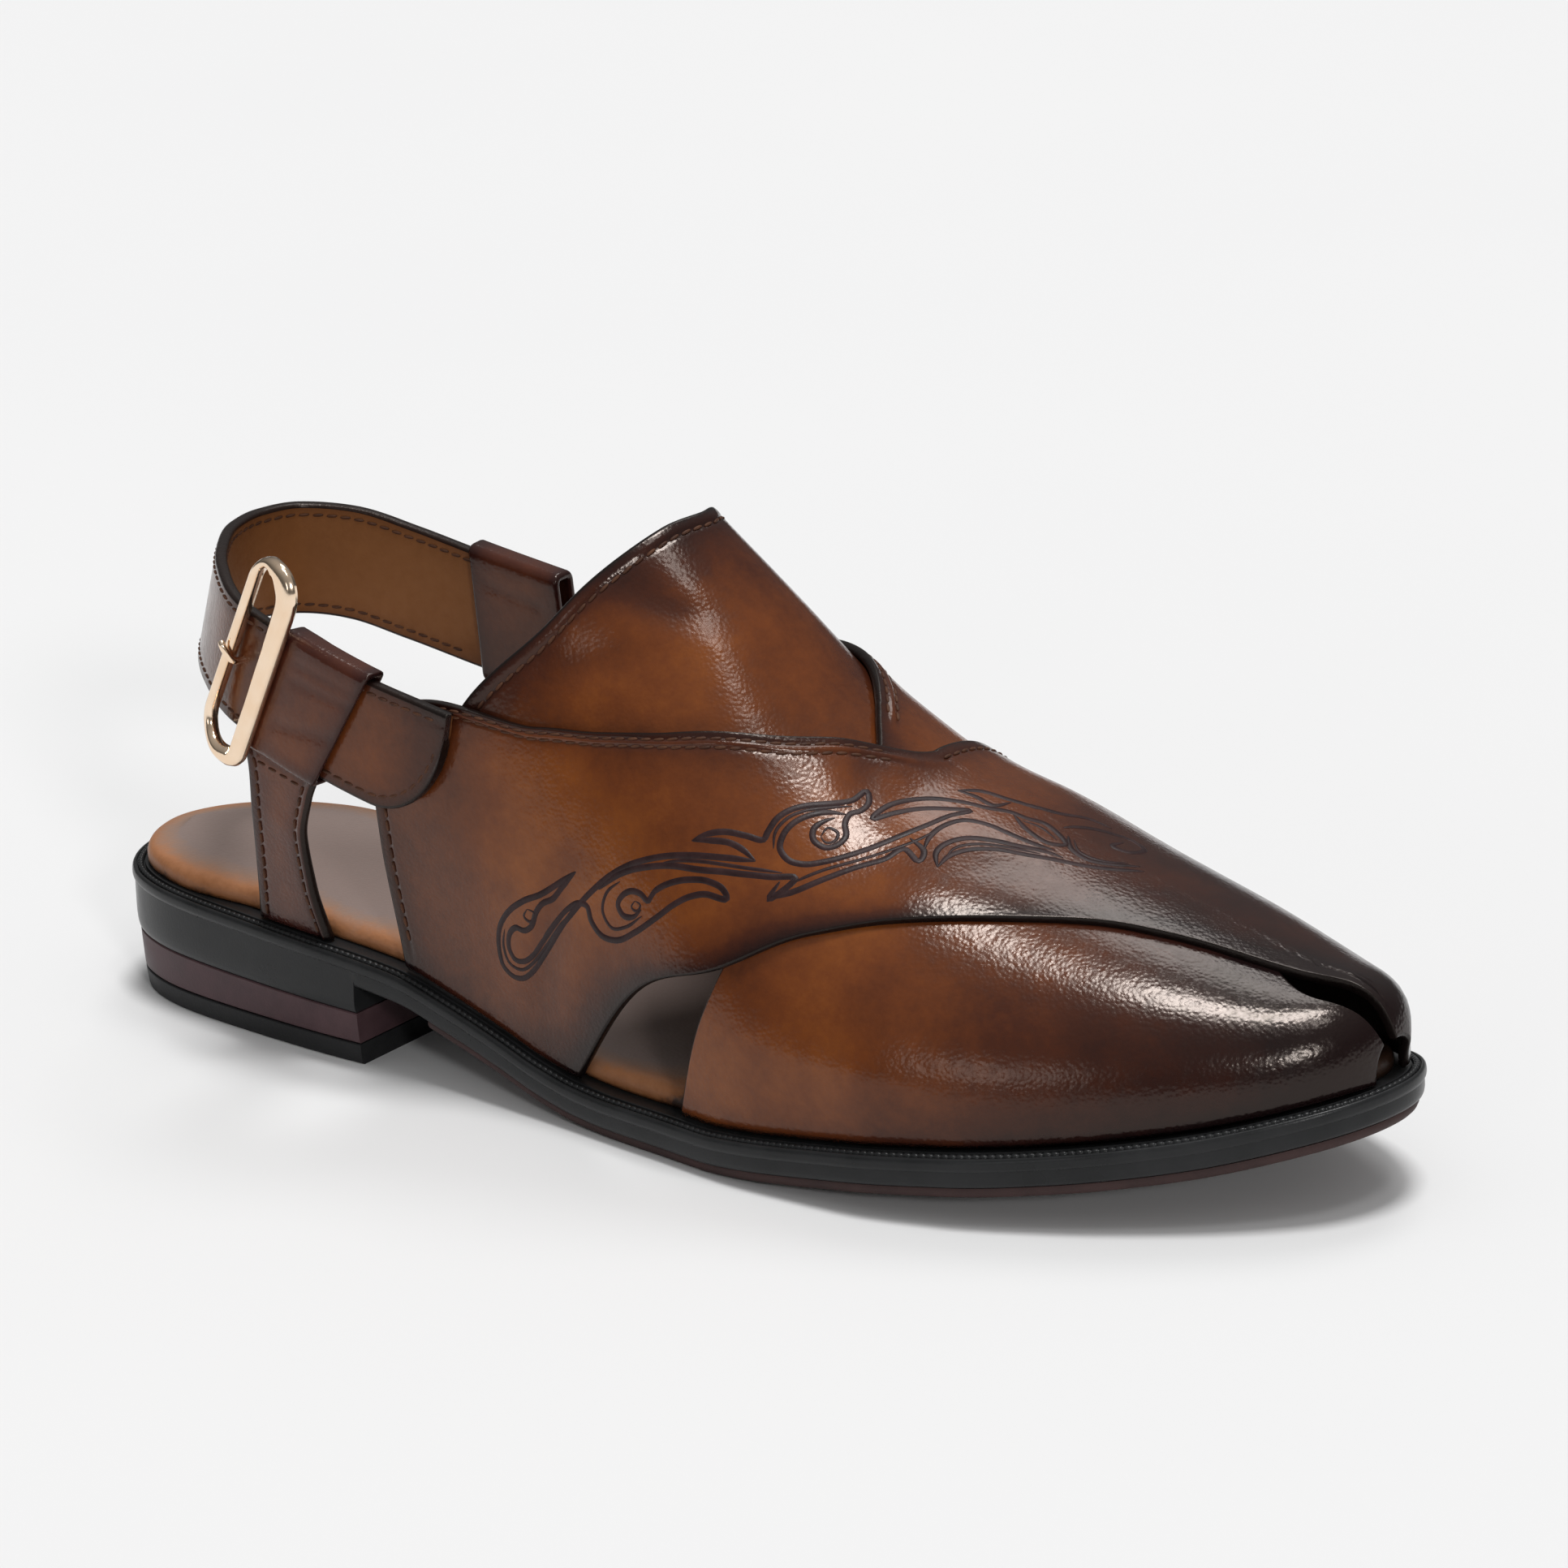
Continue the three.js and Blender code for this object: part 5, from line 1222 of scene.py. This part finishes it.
def sleevePlace(start, end, skew, folds):  # points of a sleeve, and its burnish with painted shade in the folds
    wall, rimHalf = strapSizes["wall"], staySizes["rim"]
    run = np.concatenate([[0, 0.3, 0.7, 1.2, 1.8, 2.5, 3.2], np.linspace(4, end - start - 5.4, 34)])
    run = np.concatenate([run, end - start - 1.4 - run[6::-1]])
    outer = start + rimHalf + run
    rimEnd, rimStart = end - rimHalf + rimHalf * np.sin(stayRim), start + rimHalf - rimHalf * np.sin(stayRim)
    distance = np.concatenate([outer, rimEnd, outer[::-1], rimStart, outer[:1]])
    rimDown, rimUp = wall * (1 + np.cos(stayRim)) / 2, wall * (1 - np.cos(stayRim)) / 2
    extra = np.concatenate([np.full(len(outer), wall), rimDown, np.zeros(len(outer)), rimUp, [wall]])
    factors = flatRing(22, 4)
    halfWidth = strapSizes["width"] / 2 + staySizes["room"] + extra
    halfThickness = strapSizes["thickness"] / 2 + staySizes["room"] + extra
    across, outwards = ringOn(factors, halfWidth, halfThickness, 0.4 + extra * 0.95)
    across = np.hstack([across, across[:, :1]])
    outwards = np.hstack([outwards, outwards[:, :1]])
    onOuter = smooth(0.8, 1.0, extra / wall)[:, None] * (np.abs(outwards) > halfThickness[:, None] - 0.05)
    relief = np.zeros(across.shape)
    for fold in folds:
        line = fold["across"] + fold["slope"] * (distance[:, None] - start)
        spread = bell(across, line, fold["width"])
        early = smooth(fold["from"] - 4, fold["from"], distance)
        late = smooth(fold["to"], fold["to"] + 4, distance)
        relief -= fold["depth"] * spread * (early * (1 - late))[:, None]
    edge = np.minimum(distance - start, end - distance)[:, None] + 0 * across
    outwards = outwards + np.sign(outwards) * relief * onOuter
    place = onStrap(distance[:, None], across, outwards, skew)
    # the ends and the sides over the strap's edges are darker, and the folds carry painted shade
    burnishAndShade = 0.2 + fading(edge, 0.5, 2.2) + 0.25 * smooth(9, 14, np.abs(across)) - relief * 0.4
    return place, burnishAndShade


def legPoint(side, distance, skew, rise, share, depth):  # share runs from the rear edge to the front edge
    middle, forward, up, out = strapFrame(np.array(float(distance)))
    sleeveHalf = strapSizes["width"] / 2 + staySizes["room"] + strapSizes["wall"] / 2
    foot = outlinePoint(turnOf(staySizes["footAlong"]), side, lastSizes["shelf"])
    head = middle - up * sleeveHalf - forward * sleeveHalf * skew
    rise, share, depth = np.broadcast_arrays(*[np.asarray(v, float) for v in (rise, share, depth)])
    across = (share - 0.5) * stayWidth(rise) * staySizes["width"]
    rear = stayRear(rise) * staySizes["width"]
    footX = foot[0] + rear + across
    footTurn = turnOf(footX / lastSizes["length"])
    inwardEdge = outlinePoint(footTurn, side, 1.0)[..., 1] - outlinePoint(footTurn, side, 0)[..., 1]
    footY = outlinePoint(footTurn, side, 0)[..., 1] + inwardEdge * (lastSizes["shelf"] + depth)
    footPlace = np.stack([footX, footY, weltTop(footX) + lastSizes["gap"]], -1)
    headPlace = head + forward * side * (across + rear)[..., None]
    headPlace = headPlace + out * (strapSizes["wall"] * 0.5 - depth * 0.5)[..., None]
    point = footPlace + (headPlace - footPlace) * rise[..., None]
    arch = np.sin(np.pi * np.clip(rise, 0, 1)) * staySwell(1.0) * staySwell(rise)
    point[..., 1] += side * arch * staySizes["bow"] * staySizes["width"]
    return point


def legPiece(name, side, distance, skew, node):
    rises = np.concatenate([[0], np.linspace(0.01, 1.0, 60)])
    reach = 0.9 / staySizes["width"]
    nearRim = np.array([1, 1.4, 1.9, 2.4, 2.9, 3.4, 4.0, 4.8]) * reach
    face = np.concatenate([nearRim, np.linspace(nearRim[-1], 1 - nearRim[-1], 14)[1:-1], 1 - nearRim[::-1]])
    rimShare = reach * (1 - np.sin(stayRim))
    share = np.concatenate([face, 1 - rimShare, face[::-1], rimShare, face[:1]])
    rimDown, rimUp = (1 - np.cos(stayRim)) / 2, (1 + np.cos(stayRim)) / 2
    depth = np.concatenate([0 * face, rimDown, 0 * face + 1, rimUp, [0]])
    share = np.repeat(share[None], len(rises), axis=0)
    depth = np.repeat(depth[None], len(rises), axis=0)
    depth[0] = 0.5
    width = stayWidth(rises)[:, None] * staySizes["width"]
    fromRear, fromFront = share * width, (1 - share) * width
    edge = np.minimum(fromRear, fromFront)
    relief = -0.22 * bell(edge, staySizes["seam"], 0.55)
    relief += 0.5 * bell(fromFront, 1.3, 0.8)  # rolled front edge
    relief -= 0.3 * bell(rises[:, None], 0.955, 0.012)  # fold under the sleeve
    relief += 0.22 * bell(rises[:, None], 0.62, 0.07) * bell(share, 0.6, 0.25)
    depth = depth * staySizes["leg"] - relief * (depth < 0.02)
    place = legPoint(side, distance, skew, rises[:, None], share, depth)
    zones = wallZones(len(face), len(stayRim), len(rises))
    # darker at the edges and towards the welt; painted shade in the seam and the fold under the sleeve, and
    # painted light on the rolled front edge
    burnishAndShade = 0.22 + fading(edge, 0.7, 2.6) + fading(rises[:, None], 0.35, 0.1) - relief * reliefShadeShare
    shades = {"burnishAndShade": np.clip(burnishAndShade, -0.1, 1.1)}
    finishes = [stayLeather, edgePaint, upperLining]
    return gridPiece(name, place, [node], finishes, zones, shades, fill=True)


def legRun(side, distance, skew, shareOf, rises):
    share = shareOf(rises)
    proud = -0.02  # just outside the face
    points = legPoint(side, distance, skew, rises, share, proud)
    across = legPoint(side, distance, skew, rises, share + 0.02, proud) - points
    upLeg = legPoint(side, distance, skew, rises + 0.01, share, proud) - points
    out = unit(np.cross(upLeg, across))
    out *= np.sign(out[:, 1:2] * side)
    return points, out


lateralSleeve = {
    "start": strapSizes["tail"], "end": strapSizes["tail"] + strapSizes["sleeve"], "skew": -0.33,
    "folds": [
        {"across": 9.6, "slope": -0.05, "width": 0.7, "depth": 0.28, "from": 26, "to": 40},
        {"across": 6.4, "slope": -0.08, "width": 1.0, "depth": 0.3, "from": 25, "to": 38},
        {"across": -2.0, "slope": -0.25, "width": 1.6, "depth": 0.32, "from": 26, "to": 38},
    ],
}
medialSleeve = {
    "start": strapRun - strapSizes["sleeve"], "end": strapRun, "skew": -0.25,
    "folds": [{
        "across": 7.5, "slope": -0.06, "width": 1.2, "depth": 0.25, "from": strapRun - 18, "to": strapRun - 6,
    }],
}
for name, side, sleeve, slot, node in (
    ("lateral", -1, lateralSleeve, "stay_leather_lateral", "stay_lateral"),
    ("medial", 1, medialSleeve, "stay_leather_medial", "stay_medial"),
):
    place, burnishAndShade = sleevePlace(sleeve["start"], sleeve["end"], sleeve["skew"], sleeve["folds"])
    gridPiece("sleeve_" + name, place, [node], [stayLeather], shades={"burnishAndShade": burnishAndShade})
    halfway = (sleeve["start"] + sleeve["end"]) / 2
    legPiece("stay_leg_" + name, side, halfway, sleeve["skew"], node)
    rises = np.linspace(0.03, 0.93, 160)
    inset = staySizes["seam"] / staySizes["width"]
    runs = [
        legRun(side, halfway, sleeve["skew"], lambda r: inset / stayWidth(r), rises),
        legRun(side, halfway, sleeve["skew"], lambda r: 1 - inset / stayWidth(r), rises),
    ]
    seam = np.linspace(0.17, 0.83, 60)  # across the leg, under the sleeve
    runs.append(legRun(side, halfway, sleeve["skew"], lambda r: seam, 0.915 + 0 * seam))
    stitchPiece("stay_stitches_" + name, runs)
print("the stays are folded round the strap")


# Buckle

buckleSizes = {
    "width": 16, "height": 47, "raise": 4.6, "overlap": 5.7, "frontBar": 5.4, "rearBar": 2.4,
    "thickness": 2.6, "skew": 0.2, "prong": 1.8, "prongLevel": -2.6, "prongRise": 3.5,
}
# Corners: to the front or rear, up or down, and the share of the width and of the height that is rounded
buckleCorners = [(1, 1, 0.45, 0.14), (-1, 1, 0.5, 0.2), (-1, -1, 0.25, 0.08), (1, -1, 0.7, 0.2)]
# Section of the bar: share of its width from outside, and of its thickness
buckleSection = [
    (0.5, -0.5), (0.06, -0.42), (0, -0.1), (0.06, 0.25), (0.2, 0.44), (0.36, 0.5), (0.62, 0.5), (0.74, 0.45),
    (0.95, 0.16), (1, 0.0), (1, -0.4), (0.95, -0.5),
]
buckleStart = strapSizes["tail"] + strapSizes["sleeve"] - buckleSizes["overlap"]
strapOutside = strapSizes["thickness"] / 2 + staySizes["room"]


def buckleLift(on):
    overSleeve = strapSizes["wall"] + staySizes["room"]
    fall = smooth(buckleSizes["overlap"], buckleSizes["width"], on)
    return strapOutside + buckleSizes["thickness"] / 2 + overSleeve * (1 - fall)


def overStrap(on, across, outwards):
    middle, forward, up, out = strapFrame(np.array(buckleStart + buckleSizes["width"] / 2))
    on, across, outwards = [np.asarray(v, float)[..., None] for v in (on, across, outwards)]
    return (
        middle + forward * (on - buckleSizes["width"] / 2 - across * buckleSizes["skew"])
        + up * (across + buckleSizes["raise"]) + out * outwards
    )


def bucklePath():  # pairs of corners, the share between them and the angle
    path = []
    for k in range(4):
        for angle in np.linspace(k * np.pi / 2, (k + 1) * np.pi / 2, 18):
            path.append((k, k, 0.0, angle))
        for share in np.linspace(0, 1, 14)[1:-1]:
            path.append((k, (k + 1) % 4, share, (k + 1) * np.pi / 2))
    return path + path[:1]


def buckleOutline(corner, angle, inset):
    side, up, across, rise = buckleCorners[corner]
    roundAcross, roundUp = across * buckleSizes["width"], rise * buckleSizes["height"]
    return np.array([
        side * (buckleSizes["width"] / 2 - roundAcross) + math.cos(angle) * max(roundAcross - inset, 0.5),
        up * (buckleSizes["height"] / 2 - roundUp) + math.sin(angle) * max(roundUp - inset, 0.5),
    ])


def bucklePlace():
    rings = []
    for first, second, share, angle in bucklePath():
        frontness = float(smooth(0.75, -0.7, math.cos(angle)))
        barWidth = buckleSizes["rearBar"] + (buckleSizes["frontBar"] - buckleSizes["rearBar"]) * frontness
        ring = []
        for part, depth in buckleSection + buckleSection[:1]:
            a = buckleOutline(first, angle, part * barWidth)
            b = buckleOutline(second, angle, part * barWidth)
            spot = a + (b - a) * share
            on = buckleSizes["width"] / 2 + spot[0]
            ring.append(overStrap(on, spot[1], buckleLift(on) + depth * buckleSizes["thickness"]))
        rings.append(ring)
    return np.array(rings)


gridPiece("buckle_ring", bucklePlace(), ["buckle_frame"], [buckleMetal], angle=42)
prongHole = buckleSizes["width"] - buckleSizes["rearBar"] - buckleSizes["prong"] * 0.8


def prongPlace():  # from under the front bar, up through the strap's hole and on to the rear bar
    under = -strapOutside - buckleSizes["prong"] / 2 - staySizes["room"]
    onBar = (buckleSizes["thickness"] + buckleSizes["prong"]) / 2
    over = buckleLift(buckleSizes["width"]) + onBar + staySizes["room"]
    path = np.array([
        (buckleSizes["overlap"] + 0.6, under),
        (prongHole - buckleSizes["prong"], under),
        (prongHole, 0),
        (prongHole + 0.3, over - buckleSizes["prong"]),
        (buckleSizes["width"] - buckleSizes["rearBar"] / 2, over),
        (buckleSizes["width"] - buckleSizes["prong"] * 0.1, over - 0.2),
    ])
    rise = buckleSizes["prongRise"] * smooth(prongHole, buckleSizes["width"], path[:, 0])
    knots = overStrap(path[:, 0], rise + buckleSizes["prongLevel"], path[:, 1])
    track = splinePlaces(knots, np.linspace(0, 1, 60))
    ahead = unit(np.gradient(track, axis=0))
    share = np.linspace(0, 1, 60)
    rounded = np.sqrt(np.clip(1 - np.abs(2 * share - 1) ** 24, 0, 1))  # at both ends
    radius = buckleSizes["prong"] / 2 * (1 - 0.25 * share) * rounded
    return tubePlace(track, ahead, radius, 16)


gridPiece("buckle_prong", prongPlace(), ["buckle_pin"], [buckleMetal])
print("the buckle is closed")


# Floor, light and camera

floorSide = 8  # metres
bpy.ops.object.select_all(action="DESELECT")
bpy.ops.mesh.primitive_plane_add(size=floorSide)
floor = bpy.context.object
floor.name = "floor"
floorFinish, floorTree, floorShader = newFinish("pale floor")
floorPlace = addNode(floorTree, "ShaderNodeTexCoord", {}).outputs["Object"]
floorCloud = noise(floorTree, floorPlace, 3, 2)
floorShades = [(0.3, (0.795, 0.795, 0.797)), (0.7, (0.805, 0.805, 0.805))]
floorTree.links.new(ramp(floorTree, floorCloud, floorShades), floorShader.inputs["Base Color"])
floorShader.inputs["Roughness"].default_value = 0.9
floorShader.inputs["Specular IOR Level"].default_value = 0.1
floor.data.materials.append(floorFinish)

lampRows = [  # azimuth, elevation and spread in degrees, and strength
    (100, 84, 15, 1.75), (53, 22, 7, 0.62), (-165, 58, 20, 0.45), (75, 66, 10, 0.25), (7, 14, 14, 0.12),
]


def towards(azimuth, elevation):
    a, e = math.radians(azimuth), math.radians(elevation)
    return Vector((math.sin(a) * math.cos(e), -math.cos(a) * math.cos(e), math.sin(e)))


for azimuth, elevation, spread, strength in lampRows:
    turn = towards(azimuth, elevation).to_track_quat("Z", "Y").to_euler()
    bpy.ops.object.light_add(type="SUN", rotation=turn)
    lamp = bpy.context.object
    lamp.data.angle = math.radians(spread)
    lamp.data.energy = strength

domeSizes = {"low": 0.06, "high": 0.37}
world = bpy.data.worlds.new("studio dome")
bpy.context.scene.world = world
world.use_nodes = True
dome = world.node_tree
direction = addNode(dome, "ShaderNodeTexCoord", {}).outputs["Generated"]
skyHeight = addNode(dome, "ShaderNodeSeparateXYZ", {"Vector": direction}).outputs["Z"]
skyLight = figure(dome, "MULTIPLY", figure(dome, "MAXIMUM", skyHeight, 0.0), domeSizes["high"])
dome.links.new(figure(dome, "ADD", skyLight, domeSizes["low"]), dome.nodes["Background"].inputs["Strength"])
dome.nodes["Background"].inputs["Color"].default_value = (1, 1, 1, 1)

viewSizes = {  # degrees and metres, and the camera's own millimetres
    "azimuth": 36.5014, "elevation": 17.9332, "roll": -2.5036, "distance": 1.19912,
    "target": (0.1236, 0, 0.0628), "sensor": 36, "lens": 141.61,
}
back = towards(viewSizes["azimuth"], viewSizes["elevation"])
azimuth, roll = math.radians(viewSizes["azimuth"]), math.radians(viewSizes["roll"])
alongFloor = Vector((math.cos(azimuth), math.sin(azimuth), 0))
upFrame = back.cross(alongFloor)
right = alongFloor * math.cos(roll) + upFrame * math.sin(roll)
upward = upFrame * math.cos(roll) - alongFloor * math.sin(roll)
bpy.ops.object.camera_add()
camera = bpy.context.object
turned = Matrix((right, upward, back)).transposed().to_4x4()
turned.translation = Vector(viewSizes["target"]) + back * viewSizes["distance"]
camera.matrix_world = turned
camera.data.sensor_width = viewSizes["sensor"]
camera.data.lens = viewSizes["lens"]
bpy.context.scene.camera = camera
bpy.context.scene.view_settings.view_transform = "Standard"
print("the floor, the lights and the camera are placed")
